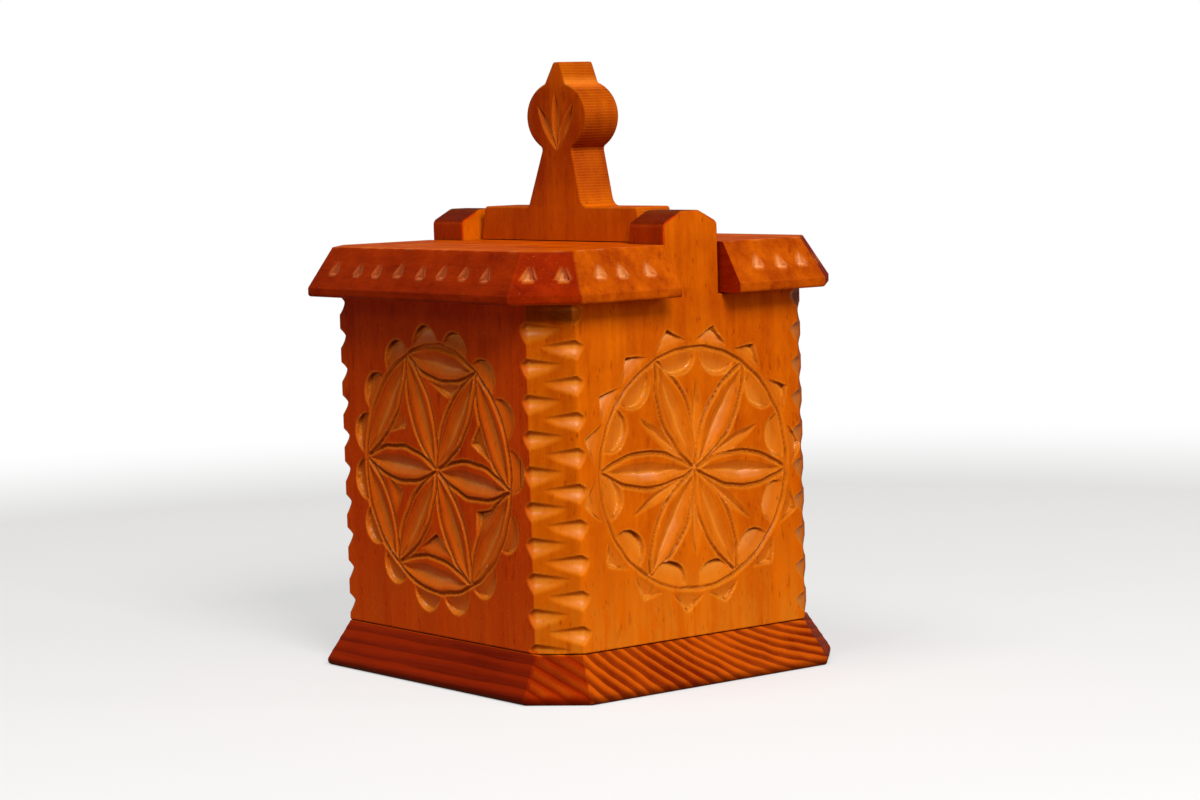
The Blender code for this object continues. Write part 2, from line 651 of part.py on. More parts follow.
def main():
    """Build the whole box."""
    clear_scene()
    beech = wood("stained_beech", (0.42, 0.125, 0.018), 0.38)
    pine = wood("stained_pine", (0.20, 0.045, 0.012), 0.40)
    lid_beech = wood("dark_stained_beech", (0.30, 0.075, 0.014), 0.32)
    pale_beech = wood("dowel_beech", (0.45, 0.24, 0.10), 0.60)

    build_base_board(pine)
    quarter = math.pi / 2
    right = build_side_wall("right_wall", quarter, EAR_SHIFT, True, beech)
    left = build_side_wall("left_wall", -quarter, -EAR_SHIFT, False, beech)
    front = build_front_wall("front_wall", 0.0, beech)
    back = build_front_wall("back_wall", math.pi, beech)
    for name, turn, board in (("front", 0.0, front), ("back", math.pi, back)):
        carve_rosette(name + "_rosette_cutter", turn, FRONT_ROSETTE_SHIFT, add_front_rosette,
                      (board, left, right))
    for name, turn, board in (("right", quarter, right), ("left", -quarter, left)):
        carve_rosette(name + "_rosette_cutter", turn, SIDE_ROSETTE_SHIFT, add_side_rosette, (board,))
    build_wall_dowels(pale_beech)
    build_base_dowels(pale_beech)

    lift = bpy.data.objects.new("lid_lift", None)
    bpy.context.scene.collection.objects.link(lift)
    lift.location = (0.0, 0.0, LID_UNDERSIDE)
    build_lid_board(lift, lid_beech)
    build_handle(lift, lid_beech)
    build_handle_dowels(lift, pale_beech)


main()
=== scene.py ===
"""Carved wooden salt box with a lift-off lid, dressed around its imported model.

Every board is one closed surface worked out on grids: an outline carried round or up the board and sunk by
the depth of each cut that a carver made in it.  The classes work in millimetres, in the box's own frame, and
the meshes are made in metres.
"""
from __future__ import annotations

import logging
import math
from dataclasses import dataclass, replace
from enum import Enum
from typing import Callable, Iterator, Sequence

import bpy
import numpy as np
from mathutils import Matrix, Vector
from mathutils.geometry import delaunay_2d_cdt

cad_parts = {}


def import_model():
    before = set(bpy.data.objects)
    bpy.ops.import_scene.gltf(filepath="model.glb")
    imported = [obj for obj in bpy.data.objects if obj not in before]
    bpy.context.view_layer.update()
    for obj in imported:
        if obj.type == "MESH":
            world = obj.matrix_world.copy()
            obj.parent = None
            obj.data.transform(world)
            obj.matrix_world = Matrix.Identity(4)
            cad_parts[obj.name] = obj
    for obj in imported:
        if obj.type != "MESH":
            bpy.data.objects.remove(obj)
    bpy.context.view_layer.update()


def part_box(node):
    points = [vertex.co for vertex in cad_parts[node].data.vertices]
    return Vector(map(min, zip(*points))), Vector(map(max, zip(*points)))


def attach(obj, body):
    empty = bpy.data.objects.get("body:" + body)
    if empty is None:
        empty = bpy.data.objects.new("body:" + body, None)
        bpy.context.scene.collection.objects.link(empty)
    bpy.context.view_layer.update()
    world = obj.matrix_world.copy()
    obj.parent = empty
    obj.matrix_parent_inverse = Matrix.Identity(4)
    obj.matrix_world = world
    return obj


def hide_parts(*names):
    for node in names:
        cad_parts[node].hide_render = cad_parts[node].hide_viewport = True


LOG = logging.getLogger("salt_box")
Array = np.ndarray

Pair = tuple[float, float]
Triple = tuple[float, float, float]

MILLIMETRE = 0.001
UP: Triple = (0.0, 0.0, 1.0)
DOWN: Triple = (0.0, 0.0, -1.0)
# Lengths in millimetres.  ROUNDING is taken off a count before it is rounded up.
ROUNDING = 1e-9
SEWING_GRID = 1e-4
FLAT_TOLERANCE = 1e-7
CONTACT = 0.01
SHARP_ANGLE = math.radians(38.0)
SHORTEST_ARC = 3
EDGE_STEPS = 3
RIM_STEPS = 4
RIM_PITCH = 0.6
BORE_SIDES = 32
# Slope of a stop cut, and how nearly a place faces along Y where it takes the painted side shade.
STOP_SLOPE = 1.8
SHADED_SIDE_FACING = 0.74
SHADED_SIDE_SPAN = 0.12
FLAT_SHADED_SIDE_FACING = 0.4


def ratio(value: Array | float, low: float, high: float) -> Array:
    """Return how far a value lies between two limits, as a share from 0 to 1."""
    return np.clip((value - low) / (high - low), 0.0, 1.0)


def eased(value: Array | float, low: float, high: float) -> Array:
    """Return the share between two limits, started and ended gently: 3 t^2 - 2 t^3."""
    share = ratio(value, low, high)
    return share * share * (3.0 - 2.0 * share)


def graded(stops: Sequence[float], pitches: Sequence[float]) -> Array:
    """Return places that hold every stop and are evenly spaced between each two.

    place = stop + (next stop - stop) * index / count, with count = length / pitch rounded up.

    Args:
        stops: Places that the result has to hold, in order.
        pitches: Largest spacing between each two stops.

    Returns:
        The places in order, as one row.
    """
    runs = []
    for first, last, pitch in zip(stops, stops[1:], pitches):
        count = max(1, math.ceil(abs(last - first) / pitch - ROUNDING))
        runs.append(np.linspace(first, last, count, endpoint=False))
    return np.concatenate([*runs, [stops[-1]]])


def edge_arc(radius: float, steps: int) -> tuple[Array, Array]:
    """Return a quarter round: distance from the edge, and how far the surface falls there.

    distance = radius * (1 - sin a) and fall = radius * (1 - cos a), with a from 0 to 90 degrees.
    """
    angle = np.linspace(0.0, math.pi / 2, steps + 1)
    return radius * (1.0 - np.sin(angle)), radius * (1.0 - np.cos(angle))


def rounded_path(corners: Sequence[Triple], pitch: float) -> Array:
    """Return a path through corners with each corner replaced by an arc.

    The arc touches both straight runs at radius * tan(turn / 2) from the corner, and its points
    are evenly spaced by angle.

    Args:
        corners: Place and radius of each corner; the first and last stay as they are.
        pitch: Largest spacing between the points.

    Returns:
        Points of the path, one per row.
    """
    spots = np.array([corner[:2] for corner in corners], float)
    pieces = [spots[:1]]
    for before, spot, after, corner in zip(spots, spots[1:], spots[2:], corners[1:]):
        back, forth = before - spot, after - spot
        back /= np.linalg.norm(back)
        forth /= np.linalg.norm(forth)
        turn = math.pi - math.acos(float(np.clip(back @ forth, -1.0, 1.0)))
        radius = corner[2]
        if radius == 0.0:
            pieces.append(spot[None])
            continue
        reach = radius * math.tan(turn / 2)
        inward = (back + forth) / np.linalg.norm(back + forth)
        middle = spot + inward * radius / math.cos(turn / 2)
        start = spot + back * reach - middle
        side = spot + forth * reach - middle
        count = max(SHORTEST_ARC, math.ceil(radius * turn / pitch))
        share = np.linspace(0.0, 1.0, count + 1)[:, None] * turn
        across = (side - start * math.cos(turn)) / math.sin(turn)
        pieces.append(middle + start * np.cos(share) + across * np.sin(share))
    pieces.append(spots[-1:])
    path = np.concatenate(pieces)
    filled = []
    for first, last in zip(path, path[1:]):
        count = max(1, math.ceil(np.linalg.norm(last - first) / pitch - ROUNDING))
        filled.append(first + (last - first) * np.arange(count)[:, None] / count)
    return np.concatenate([*filled, path[-1:]])


def path_normals(path: Array) -> Array:
    """Return the unit normals to the right of a path, from its neighbours' difference."""
    ways = np.gradient(path, axis=0)
    ways /= np.linalg.norm(ways, axis=1)[:, None]
    return np.stack((ways[:, 1], -ways[:, 0]), axis=1)


@dataclass(frozen=True)
class Waves:
    """Smooth unevenness left by hand and plane: a sum of plane waves of like length."""

    length: float
    seed: int
    stretch: float = 1.0
    count: int = 9
    spread: Pair = (0.7, 1.5)

    def at(self, across: Array, along: Array) -> Array:
        """Return heights of about -1 to 1: the mean of cos(2 pi (way . place) / length + phase)."""
        rng = np.random.default_rng(self.seed)
        total = 0.0
        for _ in range(self.count):
            way, phase = rng.uniform(0.0, 2.0 * math.pi, 2)
            turn = 2.0 * math.pi / (self.length * rng.uniform(*self.spread))
            place = across * math.cos(way) + along * math.sin(way) / self.stretch
            total = total + np.cos(place * turn + phase)
        return total * math.sqrt(2.0 / self.count) / 2.0


class Skin:
    """Patches of surface, in millimetres, that are sewn into one closed piece."""

    def __init__(self) -> None:
        """Start with no patches."""
        self.points: list[Array] = []
        self.marks: list[Array] = []
        self.triangles: list[Array] = []
        self.smooth: list[Array] = []
        self.count = 0

    def _keep(self, points: Array, marks: Array | None, deep: Array, triangles: Array, smooth: bool) -> None:
        """Store points, their marks and the triangles between them.

        Args:
            points: Places, one per row.
            marks: Their shares cut, painted shade, and wear with painted light, or none where all are zero.
            deep: Their share of the painted shade of the sides that face along Y.
            triangles: Numbers of three points each.
            smooth: Whether light runs on over the edges between them.
        """
        marks = np.zeros((len(points), 3)) if marks is None else marks.reshape(-1, 3)
        self.points.append(points)
        self.marks.append(np.concatenate((marks, deep[:, None]), axis=1))
        self.triangles.append(triangles + self.count)
        self.smooth.append(np.full(len(triangles), smooth))
        self.count += len(points)

    def add_grid(self, points: Array, marks: Array | None = None,
                 deep: Array | float = SHADED_SIDE_FACING, reach: int = 8) -> None:
        """Add a surface given on a grid of rows and columns.

        Its outer side is the one from which rows run up and columns run to the right.  Each cell is
        cut along its shorter diagonal, which follows the carved edges.

        Args:
            points: Rows and columns of places.
            marks: Rows and columns of the marks cut, painted shade, and wear with painted light.
            deep: Share of the painted shade of sides facing along Y in each column, or the facing along Y
                where it starts.
            reach: Rows and columns over which the facing is taken, so that cuts don't count.
        """
        rows, columns = points.shape[:2]
        index = np.arange(rows * columns).reshape(rows, columns)
        corners = index[:-1, :-1], index[:-1, 1:], index[1:, 1:], index[1:, :-1]
        first, second, third, fourth = (corner.ravel() for corner in corners)
        flat = points.reshape(-1, 3)
        rising = np.linalg.norm(flat[first] - flat[third], axis=1)
        falling = np.linalg.norm(flat[second] - flat[fourth], axis=1)
        turned = (falling < rising)[:, None]
        halves = np.where(turned, np.stack((first, second, fourth, second, third, fourth), 1),
                          np.stack((first, second, third, first, third, fourth), 1))
        # Places that face along Y take a painted shade, darker and redder.
        if isinstance(deep, float):
            deep = ratio(broad_facing(points, reach), deep, deep + SHADED_SIDE_SPAN)
        deep = np.broadcast_to(deep, (rows, columns)).ravel()
        self._keep(flat, marks, deep, np.concatenate((halves[:, :3], halves[:, 3:])), True)

    def add_flat(self, facing: Sequence[float], *parts: Array, holes: Sequence[Array] = ()) -> None:
        """Add a flat face.

        Args:
            facing: Direction that the face looks in.
            parts: Runs of points that make up its closed outline.
            holes: Closed outlines of its holes.
        """
        normal = np.array(facing, float)
        normal /= np.linalg.norm(normal)
        helper = np.eye(3)[int(np.argmin(np.abs(normal)))]
        right = np.cross(helper, normal)
        right /= np.linalg.norm(right)
        up = np.cross(normal, right)
        # Points that repeat the one before them are left out.
        loops = [loop[np.linalg.norm(loop - np.roll(loop, 1, axis=0), axis=1) > SEWING_GRID]
                 for loop in (np.concatenate(parts), *holes)]
        points = np.concatenate(loops)
        owner = np.repeat(np.arange(len(loops)), [len(loop) for loop in loops])
        plane = [Vector((float(point @ right), float(point @ up))) for point in points]
        edges, start = [], 0
        for loop in loops:
            size = len(loop)
            edges += [(start + step, start + (step + 1) % size) for step in range(size)]
            start += size
        _, _, faces, sources, _, _ = delaunay_2d_cdt(plane, edges, [], 1, FLAT_TOLERANCE)
        triangles = np.array([source[0] for source in sources])[np.array(faces)]
        owners = owner[triangles]
        in_hole = (owners[:, 0] > 0) & (owners == owners[:, :1]).all(axis=1)
        triangles = triangles[~in_hole]
        sides = points[triangles]
        turn = np.cross(sides[:, 1] - sides[:, 0], sides[:, 2] - sides[:, 0]) @ normal
        triangles[turn < 0] = triangles[turn < 0][:, ::-1]
        # Flat faces that face along Y take the painted side shade.
        deep = np.full(len(points), float(abs(normal[1]) > FLAT_SHADED_SIDE_FACING))
        self._keep(points, None, deep, triangles, False)

    def build(self, name: str, material: bpy.types.Material) -> bpy.types.Object:
        """Sew the patches and return them as an object.

        Points that fall in one cell of the sewing grid become one.

        Args:
            name: The piece's name.
            material: Its finish.

        Returns:
            The linked object, at the origin.
        """
        points = np.concatenate(self.points)
        marks = np.concatenate(self.marks)
        cells = np.round(points / SEWING_GRID).astype(np.int64)
        _, first, merged = np.unique(cells, axis=0, return_index=True, return_inverse=True)
        corners = np.concatenate(self.triangles)
        triangles = merged.reshape(-1)[corners]
        smooth = np.concatenate(self.smooth)
        whole = (triangles != np.roll(triangles, 1, axis=1)).all(axis=1)
        triangles, smooth = triangles[whole], smooth[whole]
        kept = marks[corners[whole].ravel()]

        mesh = bpy.data.meshes.new(name)
        mesh.vertices.add(len(first))
        mesh.vertices.foreach_set("co", (points[first] * MILLIMETRE).astype(np.float32).ravel())
        mesh.loops.add(3 * len(triangles))
        mesh.loops.foreach_set("vertex_index", triangles.astype(np.int32).ravel())
        mesh.polygons.add(len(triangles))
        mesh.polygons.foreach_set("loop_start", np.arange(0, 3 * len(triangles), 3, dtype=np.int32))
        mesh.polygons.foreach_set("use_smooth", smooth)
        mesh.update(calc_edges=True)
        # Marks: cut, painted shade, wear with painted light, and deep, the painted shade of sides facing
        # along Y.
        for column, mark in enumerate(("cut", "painted_shade", "wear_and_painted_light", "deep")):
            layer = mesh.attributes.new(mark, "FLOAT", "CORNER")
            layer.data.foreach_set("value", kept[:, column].astype(np.float32))
        mesh.set_sharp_from_angle(angle=SHARP_ANGLE)
        mesh.materials.append(material)
        piece = bpy.data.objects.new(name, mesh)
        bpy.context.scene.collection.objects.link(piece)
        return piece


def broad_facing(points: Array, reach: int) -> Array:
    """Return how nearly each place of a grid faces along Y: the size of its normal's Y share.

    The normal is the product of the differences between the points that lie some rows below and above, and
    some columns to the left and right.
    """
    rows, columns = (np.arange(count) for count in points.shape[:2])
    up = points[np.minimum(rows + reach, rows[-1])] - points[np.maximum(rows - reach, 0)]
    right = (points[:, np.minimum(columns + reach, columns[-1])] - points[:, np.maximum(columns - reach, 0)])
    normal = np.cross(right, up)
    return np.abs(normal[..., 1]) / np.maximum(np.linalg.norm(normal, axis=2), ROUNDING)


@dataclass(frozen=True)
class MarkLimits:
    """Where each mark of the carving starts and is full, and how strong it gets.

    Depths are in millimetres, and bends are the change of slope per millimetre.
    """

    scratched: Pair = (0.02, 0.45)
    carved: Pair = (0.8, 1.5)
    scratched_share: float = 0.4
    crease_bend: Pair = (2.4, 4.0)
    valley_bend: Pair = (0.5, 1.6)
    deep: Pair = (0.75, 1.05)
    shallow_shade: float = 0.6
    overhang_slope: Pair = (0.6, 1.5)
    lip_bend: Pair = (0.2, 2.0)
    steep_slope: Pair = (0.7, 2.0)
    steep_light: float = 0.6
    slant_slope: Pair = (0.1, 0.5)
    slant_light: float = 0.35


def carving_marks(depth: Array, across: Array, up: Array) -> Array:
    """Return the marks of a carved surface: cuts, painted shade, and wear with painted light.

    The bend is the sum of the depth's second slopes both ways, averaged over a place (weight 4)
    and its four neighbours.  Painted shade darkens it where it bends in sharply, in shallow
    grooves and under overhangs.  It is worn pale on lips, painted light brightens walls that look
    up, and a painted highlight runs along the gentle valleys of deep hollows.

    Args:
        depth: Depth of the carving in rows and columns.
        across, up: Place of each column and of each row.

    Returns:
        Rows and columns of the shares cut, painted shade, and wear with painted light.
    """
    limits, climb = MarkLimits(), np.gradient(depth, up, axis=0)
    run = np.gradient(np.gradient(depth, across, axis=1), across, axis=1)
    bend = np.gradient(climb, up, axis=0) + run
    inner = bend.copy()
    inner[1:-1, 1:-1] = (4.0 * bend[1:-1, 1:-1] + bend[:-2, 1:-1] + bend[2:, 1:-1]
                         + bend[1:-1, :-2] + bend[1:-1, 2:]) / 8.0
    scratch = limits.scratched_share * ratio(depth, *limits.scratched)
    cut = scratch + (1.0 - limits.scratched_share) * ratio(depth, *limits.carved)
    sharp, deep = ratio(-inner, *limits.crease_bend), ratio(depth, *limits.deep)
    gentle = ratio(-inner, *limits.valley_bend) * (1.0 - sharp)
    crease = np.maximum((limits.shallow_shade + (1.0 - limits.shallow_shade) * deep) * sharp,
                        limits.shallow_shade * gentle * (1.0 - deep))
    # Painted shade: in sharp creases and shallow grooves, and under overhangs where a wall looks down.
    painted_shade = np.maximum(crease, ratio(-climb, *limits.overhang_slope))
    # Painted light on walls that look up; lips are worn pale, and the gentle valleys of deep hollows take a
    # painted highlight.
    lit = np.maximum(limits.steep_light * ratio(climb, *limits.steep_slope),
                     limits.slant_light * ratio(climb, *limits.slant_slope))
    wear_and_painted_light = np.maximum(np.maximum(ratio(inner, *limits.lip_bend), lit), gentle * deep)
    return np.stack((cut, painted_shade, wear_and_painted_light * (1.0 - painted_shade)), axis=2)


def raise_mark(marks: Array, number: int, share: Array) -> None:
    """Raise one of the marks, 1 for painted shade and 2 for wear with painted light, to a share where it is
    lower.
    """
    marks[..., number] = np.maximum(marks[..., number], share)


@dataclass(frozen=True)
class BoxSizes:
    """Sizes that the boards share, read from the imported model."""

    half_length: float
    half_width: float
    wall_inner: float
    wall_foot: float
    wall_top: float
    ear_top: float
    lid_overhang: float
    base_overhang: float
    corner_leg: float = 10.1
    ear_width: float = 20.5
    ear_shift: float = 1.3

    @classmethod
    def read(cls) -> BoxSizes:
        """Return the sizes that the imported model's nodes give, in millimetres."""
        right, front, lid, base = (
            np.array(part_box(node)) / MILLIMETRE
            for node in ("right_wall", "front_wall", "lid_board", "base_board"))
        half_length, half_width, ear_top = right[1]
        return cls(
            half_length=half_length, half_width=half_width, ear_top=ear_top,
            wall_inner=right[0, 0], wall_foot=front[0, 2], wall_top=front[1, 2],
            lid_overhang=lid[1, 0] - half_length, base_overhang=base[1, 0] - half_length,
        )

    @property
    def wall(self) -> float:
        """Return the thickness of the upright boards."""
        return self.half_length - self.wall_inner


class Turn(Enum):
    """The side of the box that a board faces, as degrees turned from the front."""

    FRONT = 0.0
    RIGHT = 90.0
    BACK = 180.0
    LEFT = -90.0


@dataclass(frozen=True)
class Side:
    """One side of the box as its carver sees it: along to the right, sunk inwards, up."""

    turn: Turn
    reach: float

    @property
    def out(self) -> Array:
        """Return the direction that the side faces."""
        angle = math.radians(self.turn.value)
        return np.array((math.sin(angle), -math.cos(angle), 0.0))

    @property
    def right(self) -> Array:
        """Return the direction to the right along the side."""
        angle = math.radians(self.turn.value)
        return np.array((math.cos(angle), math.sin(angle), 0.0))

    def place(self, along: Array, sunk: Array, height: Array) -> Array:
        """Return points in the box's frame: out * (reach - sunk) + right * along + height."""
        along, sunk, height = np.broadcast_arrays(along, sunk, height)
        return (self.out * (self.reach - sunk)[..., None] + self.right * along[..., None]
                + np.array(UP) * height[..., None])

    def sweep(self, path: Array, thick: float, easing: float) -> Array:
        """Return the rim of a flat piece whose two edges are quarter rounds.

        The path is set in by radius * (1 - cos a) while the rim sinks by radius * (1 - sin a), first
        at the face and then, the other way, at the back.

        Args:
            path: Outline from its lower left end over the top, as along and height.
            thick, easing: Thickness of the piece, and radius of the quarter rounds.

        Returns:
            Rows from face to back and columns along the path.
        """
        ways = path_normals(path)
        ways[0], ways[-1] = (1.0, 0.0), (-1.0, 0.0)
        distance, fall = edge_arc(easing, RIM_STEPS)
        flat = graded((easing, thick - easing), (RIM_PITCH,))[1:-1]
        sunk = np.concatenate((distance[::-1], flat, thick - distance))
        inset = np.concatenate((fall[::-1], np.zeros(len(sunk) - 2 * len(fall)), fall))
        shape = path + ways * inset[:, None, None]
        return self.place(shape[..., 0], sunk[:, None], shape[..., 1])


def stopped(floor: Array, room: Array) -> Array:
    """Return the depth of a pit: its sloping floor, held up by steep stop cuts.

    depth = the lesser of the floor's depth and the room to the nearest wall times its slope.
    """
    return np.maximum(0.0, np.minimum(floor, room * STOP_SLOPE))


def chip_depth(u: Array, v: Array, left: Array, right: Array, point: Array, deep: float) -> Array:
    """Return the depth of a three-cornered chip.

    Its floor falls evenly from the line between its feet to its point, and its other two sides
    are stop cuts.

    Args:
        u, v: Place to the right, and upwards.
        left, right: The corners where the floor starts.
        point, deep: The deep corner, and the depth there.

    Returns:
        The depth at each place.
    """
    base = right - left
    height = base[0] * (point[1] - left[1]) - base[1] * (point[0] - left[0])
    share = (base[0] * (v - left[1]) - base[1] * (u - left[0])) / height
    room = np.full(np.shape(u), np.inf)
    for foot, other in ((left, right), (right, left)):
        wall = point - foot
        inside = wall[0] * (other[1] - foot[1]) - wall[1] * (other[0] - foot[0])
        away = wall[0] * (v - foot[1]) - wall[1] * (u - foot[0])
        room = np.minimum(room, away * math.copysign(1.0, inside) / np.hypot(*wall))
    return stopped(deep * share, room)


@dataclass(frozen=True)
class Petal:
    """A lens cut with a V groove round it and a hollow inside."""

    half_width: float = 5.2
    groove_depth: float = 0.95
    groove_half: float = 0.80
    hollow_half: float = 3.1
    hollow_depth: float = 1.45
    hollow_share: float = 0.90
    hollow_drop: float = 0.6
    hollow_power: float = 0.8
    groove_start: float = 0.12

    @classmethod
    def plain(cls, half_width: float, depth: float) -> Petal:
        """Return a petal that is one hollow from tip to tip, with no groove round it."""
        return cls(half_width=half_width, groove_depth=0.0, groove_half=1.0, hollow_half=half_width,
                   hollow_depth=depth, hollow_share=1.0, hollow_drop=0.0)

    def depth(self, u: Array, v: Array, first: Array, last: Array) -> Array:
        """Return the petal's depth at places of a face.

        With t the share along the middle line and d the distance from it, the outline lies at
        d = half width * (1 - t^2).  The groove falls evenly to it, and the hollow's depth is
        (1 - s^2)^0.8 * (1 - e / its half width), with e measured a little below the middle line.

        Args:
            u, v: Place to the right of the rosette's middle, and above it.
            first, last: The two tips.

        Returns:
            The depth at each place.
        """
        middle, way = (first + last) / 2, (last - first) / 2
        half = float(np.hypot(*way))
        way = way / half
        along = ((u - middle[0]) * way[0] + (v - middle[1]) * way[1]) / half
        offset = (v - middle[1]) * way[0] - (u - middle[0]) * way[1]
        bow = 1.0 - along ** 2
        outline = self.half_width * bow
        groove = self.groove_depth * (1.0 - np.abs(np.abs(offset) - outline) / self.groove_half)
        groove = np.where(bow > 0.0, groove * eased(bow, 0.0, self.groove_start), 0.0)
        inner = np.maximum(0.0, 1.0 - (along / self.hollow_share) ** 2)
        width = np.maximum(self.hollow_half * inner, 1e-6)
        across = np.abs(offset + self.hollow_drop * way[0] * inner)
        hollow = self.hollow_depth * inner ** self.hollow_power * (1.0 - across / width)
        return np.maximum(0.0, np.maximum(groove, hollow))


@dataclass(frozen=True)
class Rosette:
    """A round of petals cut in a face, with a ring of chips at its rim."""

    shift: float
    height: float
    radius: float
    tips: tuple[float, ...]
    rim: tuple[float, ...]
    petal: Petal = Petal()
    ring_depth: float = 0.95
    ring_half: float = 0.82
    ring_share: float = 0.85
    ring_sway: float = 0.2
    pit_depth: float = 1.95

    def spot(self, radius: float, degrees: float) -> Array:
        """Return the point at a radius and an angle from the middle."""
        angle = math.radians(degrees)
        return np.array((math.cos(angle), math.sin(angle))) * radius

    def ring(self, u: Array, v: Array) -> Array:
        """Return the depth of the V groove that runs round at the tips' radius.

        It is cut by hand: its share of the full depth is share + sway * sin(3 a + 1) * cos(2 a).
        """
        away = np.abs(np.hypot(u, v) - self.radius)
        turn = np.arctan2(v, u)
        uneven = self.ring_share + self.ring_sway * np.sin(3.0 * turn + 1.0) * np.cos(2.0 * turn)
        return uneven * self.ring_depth * np.maximum(0.0, 1.0 - away / self.ring_half)

    def thumb(self, u: Array, v: Array, degrees: float, start: float, half_width: float,
              reach: float) -> Array:
        """Return the depth of a half-round cut that starts on a circle.

        With a the arc from the cut's middle over its half width, and b the distance from the
        circle over its reach, the floor falls with b and the wall stands where a^2 + b^2 = 1.

        Args:
            u, v: Place to the right of the rosette's middle, and above it.
            degrees: The angle of the cut's middle.
            start: Radius of the circle.
            half_width: Half its width along the circle.
            reach: How far it goes out, or below zero towards the middle.

        Returns:
            The depth at each place.
        """
        away = np.hypot(u, v)
        turn = np.arctan2(v, u) - math.radians(degrees)
        turn = (turn + math.pi) % (2.0 * math.pi) - math.pi
        over = (away - start) / reach
        room = (1.0 - np.hypot(away * turn / half_width, over)) * min(half_width, abs(reach))
        return stopped(self.pit_depth * over, room)

    def cuts(self, u: Array, v: Array) -> Iterator[Array]:
        """Give the depth of each cut but the ring, one after the other."""
        raise NotImplementedError

    def depth(self, u: Array, v: Array) -> Array:
        """Return the rosette's depth at places of its face: the greatest of its cuts'."""
        total = self.ring(u, v)
        for cut in self.cuts(u, v):
            total = np.maximum(total, cut)
        return total


@dataclass(frozen=True)
class SixPetalRosette(Rosette):
    """Six petals from the middle, six more between their tips, and a scalloped rim."""

    field: tuple[tuple[int, ...], ...] = ()
    rim_gap: float = 0.7
    scallop_half: float = 6.4
    scallop_reach: float = 5.9

    def cuts(self, u: Array, v: Array) -> Iterator[Array]:
        """Give the petals, the three-cornered chips between them and the scallops."""
        for tip, after in zip(self.tips, (*self.tips[1:], self.tips[0] + 360.0)):
            first, last = self.spot(self.radius, tip), self.spot(self.radius, after)
            yield self.petal.depth(u, v, np.zeros(2), first)
            yield self.petal.depth(u, v, first, last)
        for corners in self.field:
            yield chip_depth(u, v, *np.array(corners, float).reshape(3, 2), self.pit_depth)
        start = self.radius + self.rim_gap
        for degrees in self.rim:
            yield self.thumb(u, v, degrees, start, self.scallop_half, self.scallop_reach)


@dataclass(frozen=True)
class TwelvePetalRosette(Rosette):
    """Six broad petals, six narrow ones, half moons inside the rim and chips outside."""

    narrow: tuple[int, ...] = ()
    moons: tuple[float, ...] = ()
    moon_half: float = 6.7
    moon_reach: float = -7.4
    narrow_start: float = 2.0
    narrow_length: float = 27.0
    narrow_half: float = 1.9
    narrow_depth: float = 1.15
    chip_gap: float = 1.3
    chip_half: float = 6.6
    chip_reach: float = 5.6

    def cuts(self, u: Array, v: Array) -> Iterator[Array]:
        """Give the broad petals, the narrow ones, the half moons and the rim's chips."""
        slim = Petal.plain(self.narrow_half, self.narrow_depth)
        for degrees in self.tips:
            yield self.petal.depth(u, v, np.zeros(2), self.spot(self.radius, degrees))
        for degrees in self.narrow:
            yield slim.depth(u, v, self.spot(self.narrow_start, degrees),
                             self.spot(self.narrow_length, degrees))
        for degrees in self.moons:
            yield self.thumb(u, v, degrees, self.radius, self.moon_half, self.moon_reach)
        foot = self.radius + self.chip_gap
        for degrees in self.rim:
            out = self.spot(1.0, degrees)
            side = np.array((-out[1], out[0])) * self.chip_half
            point = out * (foot + self.chip_reach)
            yield chip_depth(u, v, out * foot + side, out * foot - side, point, self.pit_depth)


@dataclass(frozen=True)
class NotchRow:
    """Gouge notches cut over the edges of a corner flat, from one edge and the other in turn."""

    pitch: float = 10.24
    top_margin: float = 1.7
    reach: float = 10.4
    spill: float = 2.9
    rise: float = 1.9
    fall: float = 4.1
    rise_power: float = 1.3
    fall_power: float = 1.6
    nearness: float = 1.2
    unevenness: float = 0.06
    seed: int = 5

    def middles(self, top: float, foot: float) -> Array:
        """Return the heights of the deepest lines, from the top down, half a pitch apart."""
        count = int((top - self.top_margin - foot) / (self.pitch / 2)) + 1
        return top - self.top_margin - np.arange(count) * self.pitch / 2

    def depth(self, plan: Array, inward: Array, corner: Array, over: Array, heights: Array,
              middles: Array) -> Array:
        """Return how far the notches of one edge push the outline inwards.

        Seen from above each notch is a straight cut from a point on the flat to a point on the face
        round the corner.  Both move back to the edge as the height leaves the notch's middle: as
        1 - x^1.3 above it, and as 1 - x^1.6 below it.

        Args:
            plan, inward: Outline places seen from above, and the unit way in at each.
            corner, over: The corner that the notches are cut over, and the unit way over the flat.
            heights, middles: Height of each row, and of each notch's deepest line.

        Returns:
            Array of rows and columns.
        """
        normal = np.array((-over[1], over[0]))
        normal *= math.copysign(1.0, normal[1])
        lean = math.sqrt(0.5)
        slope = self.spill * lean / (self.reach + self.spill * lean)
        along, below = (plan - corner) @ over, (plan - corner) @ normal
        towards = inward @ normal + slope * (inward @ over)
        near = np.linalg.norm(plan - corner, axis=1) < self.nearness * self.reach
        rng = np.random.default_rng(self.seed)
        total = np.zeros((len(heights), len(plan)))
        for middle in middles:
            size, drop = 1.0 + self.unevenness * rng.uniform(-1.0, 1.0, 2)
            above = ratio(heights - middle, 0.0, self.rise) ** self.rise_power
            under = ratio(middle - heights, 0.0, self.fall * drop) ** self.fall_power
            start = slope * self.reach * size * ((1.0 - above) * (1.0 - under))[:, None]
            push = (start - below - slope * along) / towards
            total = np.maximum(total, np.where(start * near > 0.0, push, 0.0))
        return total


@dataclass(frozen=True)
class Dowel:
    """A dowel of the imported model: the ends of its axis and its radius."""

    low: Array
    high: Array
    radius: float

    @classmethod
    def read(cls, node: str) -> Dowel:
        """Return a dowel's place from its node's box, whose longest side is its axis."""
        low, high = (np.array(corner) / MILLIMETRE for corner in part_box(node))
        axis = int(np.argmax(high - low))
        ends = (np.where(np.arange(3) == axis, corner, (low + high) / 2) for corner in (low, high))
        return cls(*ends, float(np.delete(high - low, axis).mean()) / 2)


